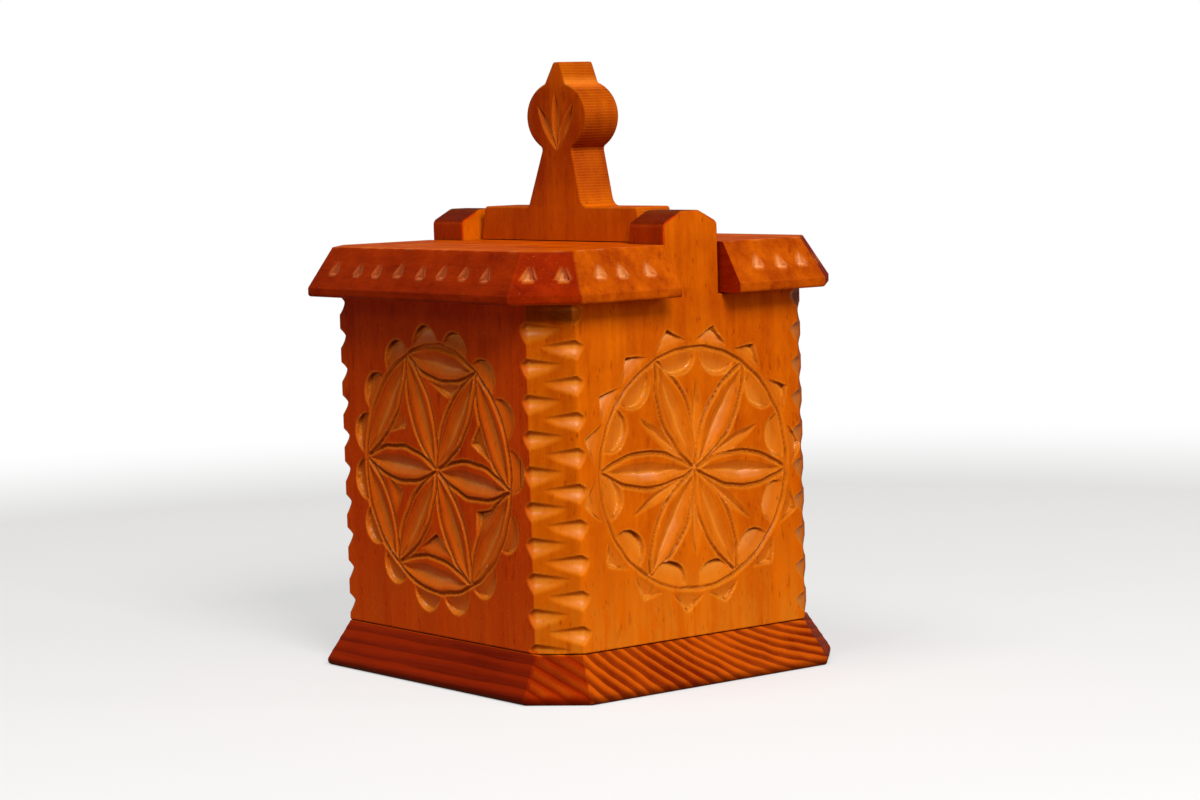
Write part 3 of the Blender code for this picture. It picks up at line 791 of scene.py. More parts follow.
@dataclass(kw_only=True)
class Piece:
    """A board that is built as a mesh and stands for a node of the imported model."""

    name: str
    body: str
    slot: str
    sizes: BoxSizes
    dowels: Sequence[Dowel]
    seam: float = 0.3

    def __post_init__(self) -> None:
        """Read the corners of the node's box."""
        self.low, self.high = (np.array(corner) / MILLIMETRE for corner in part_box(self.name))

    def skin(self) -> Skin:
        """Return the piece's surface."""
        raise NotImplementedError

    def make(self, material: bpy.types.Material) -> bpy.types.Object:
        """Build the piece, fix it to its body and put it in its node's place."""
        made = self.skin().build(self.name + "_carved", material)
        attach(made, self.body)
        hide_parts(self.name)
        LOG.info("%s: %d triangles on body %s", made.name, len(made.data.polygons), self.body)
        return made

    def add_bores(self, skin: Skin, facing: Array) -> tuple[list[Array], list[Array]]:
        """Add the hole of each dowel that goes in through one side of the board.

        Args:
            skin: The skin that gets the holes.
            facing: Outward direction of that side, along an axis.

        Returns:
            Outlines of the holes in this side, and of those that come out at the far side.
        """
        axis = int(np.argmax(np.abs(facing)))
        others = [index for index in range(3) if index != axis]
        near, far = (self.high, self.low) if facing[axis] > 0 else (self.low, self.high)
        near_holes, far_holes = [], []
        for dowel in self.dowels:
            inside = all(self.low[index] < dowel.low[index] < self.high[index] for index in others)
            lengthwise = np.argmax(dowel.high - dowel.low) == axis
            crosses = (near[axis] - dowel.low[axis]) * (near[axis] - dowel.high[axis]) <= CONTACT
            if not (inside and lengthwise and crosses):
                continue
            end = min((dowel.low, dowel.high), key=lambda corner: abs(corner[axis] - far[axis]))
            mouth = dowel.low.copy()
            mouth[axis] = near[axis]
            through = (end[axis] - far[axis]) * facing[axis] <= CONTACT
            depth = abs((far if through else end)[axis] - near[axis]) + (0.0 if through else self.seam)
            rings = add_bore(skin, mouth, -facing, dowel.radius + self.seam, depth, not through)
            near_holes.append(rings[0])
            if through:
                far_holes.append(rings[1])
        return near_holes, far_holes


def add_bore(skin: Skin, mouth: Array, axis: Array, radius: float, depth: float,
             blind: bool) -> tuple[Array, Array]:
    """Add the wall of a round hole: mouth + radius * (cos a, sin a) across the axis.

    Args:
        skin: The skin that gets the hole.
        mouth, axis: The middle of its mouth, and the unit way in which it is drilled.
        radius, depth: Its size.
        blind: Whether it has a floor.

    Returns:
        The points round the mouth and those round the far end.
    """
    first = np.cross(axis, np.eye(3)[int(np.argmin(np.abs(axis)))])
    second = np.cross(axis, first)
    angle = np.linspace(0.0, 2.0 * math.pi, BORE_SIDES + 1)[:, None]
    ring = mouth + radius * (np.cos(angle) * first + np.sin(angle) * second)
    ring[-1] = ring[0]
    skin.add_grid(np.stack((ring + axis * depth, ring)))
    if blind:
        skin.add_flat(-axis, ring[:-1] + axis * depth)
    return ring[:-1], ring[:-1] + axis * depth


def wall_marks(depth: Array, across: Array, heights: Array, fade: Pair = (0.5, 1.0)) -> Array:
    """Return the carving marks of a wall, faded out over its eased top and foot edges."""
    away = np.minimum(heights - heights[0], heights[-1] - heights)
    return carving_marks(depth, across, heights) * ratio(away, *fade)[:, None, None]


def run_length(plan: Array) -> Array:
    """Return the distance along a path at each of its points."""
    return np.concatenate(([0.0], np.cumsum(np.hypot(*np.diff(plan, axis=0).T))))


@dataclass(kw_only=True)
class Wall(Piece):
    """An upright board of the body, with a rosette on its face."""

    turn: Turn
    rosette: Rosette
    pitch: float
    rows_in_notch: int
    waviness: float
    seeds: tuple[int, int, int]
    body: str = "box"
    slot: str = "body_wood"
    easing: float = 0.35
    seam_easing: float = 0.08
    stray: float = 0.2
    stray_length: float = 9.0
    wave_length: float = 26.0
    wave_stretch: float = 2.5
    wave_end: float = 4.0

    def heights(self) -> Array:
        """Return the rows' heights from foot to top, with one on every notch's deepest line."""
        sizes, step = self.sizes, NotchRow.pitch / self.rows_in_notch
        start = sizes.wall_top - NotchRow.top_margin
        down = np.arange(start, sizes.wall_foot + self.easing + step / 2, -step)
        up = graded((start, sizes.wall_top - self.easing), (step,))[1:]
        distance, _ = edge_arc(self.easing, EDGE_STEPS)
        foot = sizes.wall_foot + distance[::-1]
        return np.concatenate((foot, down[::-1], up, sizes.wall_top - distance[1:]))

    def strays(self, along: Array, up: Array) -> Iterator[Array]:
        """Return how far the carver's hand strays along and upwards: two sums of waves."""
        return (self.stray * Waves(self.stray_length, seed).at(along, up) for seed in self.seeds[:2])

    def falls(self, up: Array) -> Array:
        """Return how far the eased edges fall: r - sqrt(r^2 - (r - away)^2) within r of them."""
        away = np.minimum(up - self.sizes.wall_foot, self.sizes.wall_top - up)
        inside = np.clip(self.easing - away, 0.0, self.easing)
        return self.easing - np.sqrt(np.maximum(0.0, self.easing ** 2 - inside ** 2))

    def plane_waves(self, along: Array, up: Array) -> Array:
        """Return the hollows that the plane left: half of 1 + waves, gone at foot and top."""
        waves = Waves(self.wave_length, self.seeds[2], self.wave_stretch).at(along, up)
        low, high = up - self.sizes.wall_foot, self.sizes.wall_top - up
        ends = eased(low, 0.0, self.wave_end) * eased(high, 0.0, self.wave_end)
        return self.waviness * (1.0 + waves) / 2 * ends


@dataclass(kw_only=True)
class SideWall(Wall):
    """A side board: a carved face, two notched corner flats and an ear."""

    neighbour: Rosette
    notches: NotchRow
    first_on_face: bool
    pitch: float = 0.37
    rows_in_notch: int = 28
    waviness: float = 0.06
    seeds: tuple[int, int, int] = (21, 22, 3)
    flat_pitch: float = 0.30
    strip_pitch: float = 0.42
    corner_reach: float = 2.5
    least_slant: float = 0.4
    seam_fade: float = 1.5
    shaded_side_edge: float = 0.2
    flat_edge: Pair = (0.2, 0.8)
    flat_shade: float = 0.26
    flat_cut: Pair = (0.1, 1.1)
    lid_shadow: float = 0.7
    shade_below_top: Pair = (7.5, 4.0)
    ear_easing: float = 0.5
    ear_clip_width: float = 7.0
    ear_clip_drop: float = 3.6
    ear_bends: Pair = (2.0, 2.5)
    ear_pitch: float = 0.5
    ear_shade: float = 0.55
    ear_top_shade: float = 0.4
    ear_rim: Pair = (0.05, 0.12)
    ear_rise: Pair = (0.3, 0.6)
    ear_shaded_side_facing: float = 0.30

    @property
    def side(self) -> Side:
        """Return the side of the box that the board faces."""
        return Side(self.turn, self.sizes.half_length)

    @property
    def ear_shift(self) -> float:
        """Return the place of the ear's middle along the board."""
        return self.sizes.ear_shift * float(self.side.right[1])

    def outline(self) -> tuple[Array, Array]:
        """Return the outer outline seen from above, and the way in at each place.

        The way in turns evenly within a short reach of each corner, so that pushed points
        keep their order.

        Returns:
            Places and unit directions, each as along and sunk.
        """
        sizes, ease = self.sizes, self.seam_easing
        half, leg, deep = sizes.half_width, sizes.corner_leg, sizes.wall
        ear = sizes.ear_width / 2 - self.ear_easing
        stops = (leg - half, self.ear_shift - ear, self.ear_shift + ear, half - leg)
        face = graded(stops, (self.pitch,) * 3)
        flat = graded((0.0, leg), (self.flat_pitch,))[:-1]
        strip = graded((deep - ease, leg), (self.strip_pitch,))[:-1]
        distance, fall = edge_arc(ease, EDGE_STEPS)
        arc = np.stack((fall[::-1] - half, deep - distance[::-1]), 1)[:-1]
        left = np.concatenate((arc, np.stack((np.full(len(strip), -half), strip), 1),
                               np.stack((flat - half, leg - flat), 1)))
        face = np.stack((face, np.zeros(len(face))), 1)
        plan = np.concatenate((left, face, left[::-1] * (-1.0, 1.0)))
        run = run_length(plan)
        seam_corner, face_corner = run[len(arc) + len(strip)], run[len(left)]
        corners = (seam_corner, face_corner, run[-1] - face_corner, run[-1] - seam_corner)
        turn = sum(eased(run, corner - self.corner_reach, corner + self.corner_reach) for corner in corners)
        angle = turn * math.pi / 4
        return plan, np.stack((np.cos(angle), np.sin(angle)), 1)

    def depth(self, plan: Array, inward: Array, heights: Array) -> Array:
        """Return how far each point of the outer skin is pushed in.

        It is the greatest of the rosettes' depths, over the share of the push that goes straight in,
        of the notches and of the eased edges, with the plane's waves on top.

        Args:
            plan, inward: Outline places seen from above, and the unit way in at each.
            heights: Height of each row of the surface.

        Returns:
            Array of rows and columns.
        """
        sizes, rosette, neighbour = self.sizes, self.rosette, self.neighbour
        half, leg = sizes.half_width, sizes.corner_leg
        up = heights[:, None] + np.zeros(len(plan))
        along, sunk = plan[:, 0] + 0.0 * up, plan[:, 1] + 0.0 * up
        sway, shake = self.strays(along - sunk, up)
        face_cut = rosette.depth(along - rosette.shift + sway, up - rosette.height + shake)
        total = np.maximum(0.0, face_cut - sunk) / np.maximum(inward[:, 1], self.least_slant)
        middles = self.notches.middles(sizes.wall_top, sizes.wall_foot)
        for hand in (-1.0, 1.0):
            across = -hand * (sizes.half_length - sunk) - neighbour.shift
            end_cut = neighbour.depth(across + sway, up - neighbour.height + shake)
            end_cut = np.maximum(0.0, end_cut - (half - hand * along))
            end_cut = end_cut / np.maximum(np.abs(inward[:, 0]), self.least_slant)
            total = np.maximum(total, np.where(hand * along > half - leg, end_cut, 0.0))
            face_edge = np.array((hand * (half - leg), 0.0))
            seam_edge = np.array((hand * half, leg))
            over = (seam_edge - face_edge) / (leg * math.sqrt(2.0))
            edges = [(face_edge, over), (seam_edge, -over)]
            for start, edge in enumerate(edges if self.first_on_face else edges[::-1]):
                cut = self.notches.depth(plan, inward, *edge, heights, middles[start::2])
                total = np.maximum(total, cut)

        beside_ear = ratio(np.abs(along - self.ear_shift) - sizes.ear_width / 2, 0.0, 1.0)
        beside_ear = np.where(sunk < SEWING_GRID, beside_ear, 1.0)
        falls = self.falls(up) * np.where(up > rosette.height, beside_ear, 1.0)
        waves = self.plane_waves(along + sunk, up) * eased(sizes.wall - sunk, 0.0, self.seam_fade)
        return np.maximum(total, falls) + waves

    def add_ear(self, skin: Skin) -> Array:
        """Add the ear's rim, darkened by a painted shade away from its two edges, and return its points."""
        sizes, (low_bend, high_bend) = self.sizes, self.ear_bends
        left, right = (self.ear_shift + hand * sizes.ear_width / 2 for hand in (-1, 1))
        top, shoulder = sizes.ear_top, sizes.ear_top - self.ear_clip_drop
        outline = rounded_path((
            (left, sizes.wall_top, 0.0), (left, shoulder, low_bend),
            (left + self.ear_clip_width, top, high_bend), (right - self.ear_clip_width, top, high_bend),
            (right, shoulder, low_bend), (right, sizes.wall_top, 0.0)), self.ear_pitch)
        tube = self.side.sweep(outline, sizes.wall, self.ear_easing)
        share = np.linspace(0.0, 1.0, len(tube))[:, None, None] + np.zeros((1, len(outline), 1))
        # Painted shade on the ear's rim away from its edges, stronger where it faces up.
        ear_shading = self.ear_shade * ratio(share, *self.ear_rim) * ratio(1.0 - share, *self.ear_rim)
        rising = ratio(-path_normals(outline)[:, 1], *self.ear_rise)[:, None]
        ear_shading = ear_shading * (1.0 + self.ear_top_shade * rising)
        skin.add_grid(tube, ear_shading * (0.0, 1.0, 0.0), self.ear_shaded_side_facing)
        return tube

    def skin(self) -> Skin:
        """Return the board as patches: outer skin, ear, flat inner face, foot and top.

        Its corner flats take a painted shade, darkest near the top in a painted shadow of the lid.
        """
        side, sizes, heights = self.side, self.sizes, self.heights()
        plan, inward = self.outline()
        depth = self.depth(plan, inward, heights)
        pushed = plan + inward * depth[:, :, None]
        outer = side.place(pushed[..., 0], pushed[..., 1], heights[:, None])
        leg = sizes.corner_leg
        # The strip past the corner flat faces along Y and takes the painted side shade.
        deep = ratio(plan[:, 1], leg - self.shaded_side_edge, leg + self.shaded_side_edge)
        marks = wall_marks(depth, run_length(plan), heights)
        # Painted shade on the corner flats where they are not cut, and a painted shadow of the lid near
        # their top.
        flat = ratio(plan[:, 1], *self.flat_edge) * (1.0 - deep)
        flat_shaded = self.flat_shade * flat * (1.0 - ratio(depth, *self.flat_cut))
        low, high = (sizes.wall_top - below for below in self.shade_below_top)
        shaded = self.lid_shadow * flat * ratio(heights, low, high)[:, None]
        raise_mark(marks, 1, np.maximum(flat_shaded, shaded))
        skin = Skin()
        skin.add_grid(outer, marks, deep)

        tube = self.add_ear(skin)
        half = sizes.ear_width / 2 - self.ear_easing + SEWING_GRID
        ear = np.flatnonzero((plan[:, 1] < SEWING_GRID) & (np.abs(plan[:, 0] - self.ear_shift) < half))
        top = outer[-1]
        skin.add_flat(side.out, top[ear], tube[0][::-1])
        skin.add_flat(UP, top[:ear[0] + 1], tube[:, 0])
        skin.add_flat(UP, top[ear[-1]:], tube[::-1, -1])
        inner_holes, _ = self.add_bores(skin, -side.out)
        foot_holes, _ = self.add_bores(skin, np.array(DOWN))
        skin.add_flat(-side.out, outer[:, 0], tube[-1], outer[::-1, -1], holes=inner_holes)
        skin.add_flat(DOWN, outer[0], holes=foot_holes)
        return skin


@dataclass(kw_only=True)
class FrontWall(Wall):
    """A board between the side boards, carved over its whole face."""

    pitch: float = 0.33
    rows_in_notch: int = 30
    waviness: float = 0.05
    seeds: tuple[int, int, int] = (31, 32, 33)
    side_gap: float = 0.04
    seam_fade: float = 2.0

    def skin(self) -> Skin:
        """Return the board as patches: carved face, ends, inner face, foot and top."""
        sizes, rosette = self.sizes, self.rosette
        side, half = Side(self.turn, sizes.half_width), sizes.wall_inner - self.side_gap
        heights = self.heights()
        distance, fall = edge_arc(self.seam_easing, EDGE_STEPS)
        face = graded((self.seam_easing - half, half - self.seam_easing), (self.pitch,))
        along = np.concatenate((distance[::-1] - half, face[1:-1], half - distance))
        sunk = np.concatenate((fall[::-1], np.zeros(len(face) - 2), fall))
        up = heights[:, None] + np.zeros(len(along))
        across = along + 0.0 * up
        sway, shake = self.strays(across, up)
        cut = rosette.depth(along - rosette.shift + sway, up - rosette.height + shake)
        waves = self.plane_waves(across, up) * eased(half - np.abs(along), 0.0, self.seam_fade)
        depth = np.maximum(cut, self.falls(up)) + waves
        outer = side.place(along, sunk + depth, heights[:, None])
        skin = Skin()
        skin.add_grid(outer, wall_marks(depth, along, heights))

        back = side.place(np.array((-half, -half, half, half)), np.full(4, sizes.wall),
                          np.tile((heights[0], heights[-1]), 2))
        left_foot, left_top, right_foot, right_top = (corner[None] for corner in back)
        right_holes, _ = self.add_bores(skin, side.right)
        left_holes, _ = self.add_bores(skin, -side.right)
        foot_holes, _ = self.add_bores(skin, np.array(DOWN))
        skin.add_flat(-side.right, outer[:, 0], left_top, left_foot, holes=left_holes)
        skin.add_flat(side.right, outer[:, -1], right_top, right_foot, holes=right_holes)
        skin.add_flat(UP, outer[-1], right_top, left_top)
        skin.add_flat(DOWN, outer[0], right_foot, left_foot, holes=foot_holes)
        skin.add_flat(-side.out, left_foot, left_top, right_top, right_foot)
        return skin


@dataclass(kw_only=True)
class Bevelled(Piece):
    """A bevelled board, whose plan is the body's octagon, pushed out evenly."""

    pitch: float = 0.42

    def corner(self, number: int, overhang: Array) -> Array:
        """Return one corner at each overhang.

        A corner leg grows by overhang * (1 - tan 22.5 degrees), so that every side moves out evenly.

        Args:
            number: The corner's number, to the right from the front end of the left side.
            overhang: How far the outline is pushed out, in one row.

        Returns:
            The corner's plan points, one per row.
        """
        leg = self.sizes.corner_leg + overhang * (1.0 - math.tan(math.pi / 8))
        half_x, half_y = self.sizes.half_length + overhang, self.sizes.half_width + overhang
        signs = ((-1, -1), (-1, -1), (1, -1), (1, -1), (1, 1), (1, 1), (-1, 1), (-1, 1))[number % 8]
        on_side = number % 4 in (0, 3)
        x, y = (half_x, half_y - leg) if on_side else (half_x - leg, half_y)
        return np.stack((signs[0] * x, signs[1] * y), axis=-1)

    def strip(self, nodes: Sequence[Array], pitches: Sequence[float]) -> tuple[Array, Array, Array]:
        """Return plan points between nodes at each overhang, and where each column lies.

        point = node + (next node - node) * share, with evenly spaced shares.

        Args:
            nodes: Arrays of overhangs and two coordinates, in order to the right.
            pitches: Largest spacing between columns in each stretch.

        Returns:
            Points by overhang and column, each column's outward direction, and each point's place
            along its stretch, from the middle of it.
        """
        points, ways, places, sizes = [], [], [], self.sizes
        halves = np.array((sizes.half_length, sizes.half_width))
        for first, last, pitch in zip(nodes, nodes[1:], pitches):
            count = math.ceil(float(np.linalg.norm(last - first, axis=1).max()) / pitch)
            share = np.arange(count + 1)[None, :, None] / count
            run = last - first
            row = first[:, None, :] + run[:, None, :] * share
            way = run[0] / np.linalg.norm(run[0])
            columns = count + 1 if last is nodes[-1] else count
            out = np.array((way[1], -way[0]))
            sloping = min(abs(way[0]), abs(way[1])) >= SEWING_GRID
            middle = np.sign(out) * (halves - sizes.corner_leg / 2) * sloping
            points.append(row[:, :columns])
            ways.append(np.tile(out, (columns, 1)))
            places.append(((row - middle) @ way)[:, :columns])
        return np.concatenate(points, 1), np.concatenate(ways), np.concatenate(places, 1)


@dataclass(frozen=True)
class ChipRows:
    """Rows of three-cornered chips cut in the lid's bevels, by side of the lid."""

    front: tuple[float, ...] = (-41.0, -28.0, -18.0, -7.0, 5.0, 15.0, 26.0, 37.0)
    side: tuple[float, ...] = (-37.0, -29.0, -19.0, 22.0, 31.0, 39.0)
    corner: tuple[float, ...] = (-5.0, 5.0)
    foot: float = 4.8
    height: float = 5.2
    half_width: float = 2.05
    depth: float = 1.1
    lean: float = 0.7
    lean_lift: float = 0.3

    def sunk(self, place: Array, climb: Array, middles: Sequence[float]) -> Array:
        """Return the depth of one row's chips.

        Each floor falls evenly from the chip's upper corner to the wall at its foot.  By hand each
        chip leans by lean * sin(2.4 * number + 1) at its upper corner.

        Args:
            place, climb: Place along the bevel, and up it from the band.
            middles: Place of each chip's middle.

        Returns:
            The depth at each place.
        """
        total = np.zeros(np.shape(place))
        side_slope = self.height / math.hypot(self.height, self.half_width)
        for number, middle in enumerate(middles):
            lean = self.lean * math.sin(2.4 * number + 1.0)
            share = (climb - self.foot - self.lean_lift * lean) / self.height
            across = np.abs(place - middle - lean * share)
            beside = (self.half_width * (1.0 - share) - across) * side_slope
            floor = self.depth * (1.0 - share)
            total = np.maximum(total, stopped(floor, np.minimum(beside, share * self.height)))
        return total


def raised(points: Array, heights: Array) -> Array:
    """Return plan points in rows and columns with the height of each row added."""
    up = np.broadcast_to(heights[:, None, None], (*points.shape[:2], 1))
    return np.concatenate((points, up), 2)


@dataclass(kw_only=True)
class LidBoard(Bevelled):
    """The bevelled lid board with its chips and the two notches for the ears."""

    name: str = "lid_board"
    body: str = "lid"
    slot: str = "lid_wood"
    chips: ChipRows = ChipRows()
    top_overhang: float = 1.3
    band: float = 2.7
    easing: float = 0.9
    band_bend: float = 0.7
    top_bend: float = 0.6
    flat_run: Pair = (0.4, 1.0)
    bevel_margin: float = 0.3
    ear_room: float = 0.8
    edge_highlight: float = 0.6
    edge_width: float = 0.5
    highlight_seed: int = 41
    corner_shade: float = 0.3

    def half(self, hand: int) -> tuple[Array, Array]:
        """Return the carved edge in front of the ears or behind them, and its marks.

        The chips push the bevel square to its slope.  Its upper edge is worn pale and takes a painted
        highlight in patches, by exp(-(d / width)^2) with d the distance from that edge.  The corner bevels
        take a painted shade.

        Args:
            hand: -1 for the front half and 1 for the back half.

        Returns:
            Points and marks in rows up the edge and columns to the right.
        """
        sizes, foot, top, rim = self.sizes, self.low[2], self.high[2], self.sizes.lid_overhang
        below, above = self.flat_run
        profile = rounded_path((
            (rim - self.easing - below, foot, 0.0), (rim, foot, self.easing),
            (rim, foot + self.band, self.band_bend), (self.top_overhang, top, self.top_bend),
            (self.top_overhang - above, top, 0.0)), self.pitch)
        overhang, heights = profile[:, 0], profile[:, 1]
        level = np.full(len(overhang), sizes.ear_shift + hand * (sizes.ear_width / 2 + self.ear_room))
        reach = sizes.half_length + overhang
        start, end = (np.stack((turn * reach, level), 1) for turn in (hand, -hand))
        corners = [self.corner(step, overhang) for step in (range(4) if hand < 0 else range(4, 8))]
        points, ways, places = self.strip([start, *corners, end], (self.pitch,) * 5)
        slope = np.array((rim - self.top_overhang, heights[-1] - heights[0] - self.band))
        length = float(np.hypot(*slope))
        climb = (heights - heights[0] - self.band) / slope[1] * length
        on_bevel = (climb > self.bevel_margin) & (climb < length - self.bevel_margin)
        climb = np.where(on_bevel, climb, -self.chips.foot)[:, None] + np.zeros(points.shape[1])
        sloping = np.abs(ways[:, 0] * ways[:, 1]) > 0.1
        facing_x = np.abs(ways[:, 0]) > 0.9
        depth = self.chips.sunk(places, climb, self.chips.front)
        for chosen, place, middles in ((facing_x, points[..., 1], self.chips.side),
                                       (sloping, places, self.chips.corner)):
            depth = np.where(chosen, self.chips.sunk(place, climb, middles), depth)
        out = np.array((slope[1], slope[0])) / length
        push = np.concatenate((ways * out[0], np.full((len(ways), 1), out[1])), axis=1)
        surface = raised(points, heights)
        run, rise = run_length(points[0]), run_length(profile)
        marks = carving_marks(depth, run, rise)
        # Painted highlight, with some wear, along the upper edge in patches.
        painted_highlight = np.exp(-((rise[:, None] - rise[-3]) / self.edge_width) ** 2)
        painted_highlight = painted_highlight * eased(Waves(9.0, self.highlight_seed).at(run, rise[:, None]), -0.2, 1.2)
        raise_mark(marks, 2, self.edge_highlight * painted_highlight)
        # Painted shade on the corner bevels.
        raise_mark(marks, 1, self.corner_shade * sloping)
        return surface - push * depth[..., None], marks

    def skin(self) -> Skin:
        """Return the board as patches: two halves of edge, flat top and underside, notch walls."""
        skin = Skin()
        (front, front_marks), (back, back_marks) = self.half(-1), self.half(1)
        for half, marks in ((front, front_marks), (back, back_marks)):
            # Bevels that face along Y take the painted side shade, the corner bevels in part.
            facing = broad_facing(half, 3)
            deep = ratio(facing, 0.45, 0.57) * (1.0 - 0.12 * ratio(facing, 0.62, 0.74))
            skin.add_grid(half, marks, deep)
        inner = self.sizes.wall_inner - self.ear_room
        near, far = front[0, 0, 1], back[0, 0, 1]
        foot, top = self.low[2], self.high[2]
        corners = {(x, y, z): np.array([(x * inner, near if y < 0 else far, foot if z < 0 else top)])
                   for x in (-1, 1) for y in (-1, 1) for z in (-1, 1)}
        for facing, row, z, holes in zip((UP, DOWN), (-1, 0), (1, -1), self.add_bores(skin, np.array(UP))):
            skin.add_flat(facing, front[row], corners[1, -1, z], corners[1, 1, z],
                          back[row], corners[-1, 1, z], corners[-1, -1, z], holes=holes)
        for x, y, edge in ((1, -1, front[:, -1]), (1, 1, back[:, 0]),
                           (-1, 1, back[:, -1]), (-1, -1, front[:, 0])):
            skin.add_flat((0, -y, 0), edge, corners[x, y, 1], corners[x, y, -1])
        for x in (-1, 1):
            skin.add_flat((x, 0, 0), corners[x, -1, -1], corners[x, 1, -1],
                          corners[x, 1, 1], corners[x, -1, 1])
        return skin


@dataclass(frozen=True)
class Rings:
    """The year rings of the base board's wood, about an axis that runs along it."""

    middle: Pair = (66.0, 110.0)
    start: float = 100.0
    spacing: float = 2.3
    growth: float = 0.024

    def count(self, radius: Array) -> Array:
        """Return the ring number at a radius: ln(1 + (r - start) * growth / spacing) / growth."""
        return np.log(1.0 + (radius - self.start) * self.growth / self.spacing) / self.growth


@dataclass(kw_only=True)
class BaseBoard(Bevelled):
    """The bevelled base board, with the hard lines of its rings standing proud."""

    name: str = "base_board"
    body: str = "box"
    slot: str = "base_wood"
    rings: Rings
    band: float = 2.2
    foot_run: float = 2.0
    top_run: float = 0.8
    bends: Triple = (1.5, 1.6, 0.5)
    relief: float = 0.14
    wobble: float = 0.5
    wobble_seed: int = 8
    hard_rise: Pair = (0.45, 0.85)
    hard_fall: Pair = (0.9, 1.0)
    foot_fade: Pair = (0.3, 1.5)
    top_fade: float = 1.2
    foot_shade: Pair = (3.2, 2.8)
    shaded_side_facing: float = 0.50
    facing_reach: int = 3

    def skin(self) -> Skin:
        """Return the board as patches: its edge all round, flat top and underside.

        The soft wood is worn by relief * (1 - hard share), except at the edges.  A point's ring radius is
        its distance from the rings' axis, with a slow wobble.  The hard share rises gently within each ring
        and falls quickly at its end.
        """
        foot, top, out = self.low[2], self.high[2], self.sizes.base_overhang
        foot_bend, band_bend, top_bend = self.bends
        profile = rounded_path((
            (out - self.foot_run, foot, 0.0), (out, foot, foot_bend),
            (out, foot + self.band, band_bend), (0.0, top, top_bend), (-self.top_run, top, 0.0),
        ), self.pitch)
        overhang, heights = profile[:, 0], profile[:, 1]
        nodes = [self.corner(step % 8, overhang) for step in range(9)]
        points, ways, _ = self.strip(nodes, (self.pitch,) * 8)
        surface = raised(points, heights)
        across = self.rings.middle
        radius = np.hypot(surface[..., 1] - across[0], surface[..., 2] - across[1])
        wobble = Waves(30.0, self.wobble_seed, 3.0).at(surface[..., 2] * 4.0, surface[..., 0])
        share = self.rings.count(radius + self.wobble * wobble) % 1.0
        soft = 1.0 - eased(share, *self.hard_rise) * (1.0 - eased(share, *self.hard_fall))
        low, high = (foot + away for away in self.foot_fade)
        ends = eased(heights, low, high) * eased(top - heights, 0.0, self.top_fade)
        depth = self.relief * soft * ends[:, None]
        depth[:, -1] = depth[:, 0]
        push = np.concatenate((ways, np.zeros((len(ways), 1))), axis=1)
        push[-1] = push[0]
        surface = surface - push * depth[..., None]
        shade_top, shade_span = self.foot_shade
        marks = carving_marks(depth, run_length(points[0]), run_length(profile))
        # Painted shade darkens the edge towards its foot, where it stands on the floor.
        raise_mark(marks, 1, ratio(foot + shade_top - heights, 0.0, shade_span)[:, None])
        skin = Skin()
        # Its faces along Y take the painted side shade.
        skin.add_grid(surface, marks, self.shaded_side_facing, self.facing_reach)
        top_holes, foot_holes = self.add_bores(skin, np.array(UP))
        skin.add_flat(UP, surface[-1], holes=top_holes)
        skin.add_flat(DOWN, surface[0], holes=foot_holes)
        return skin


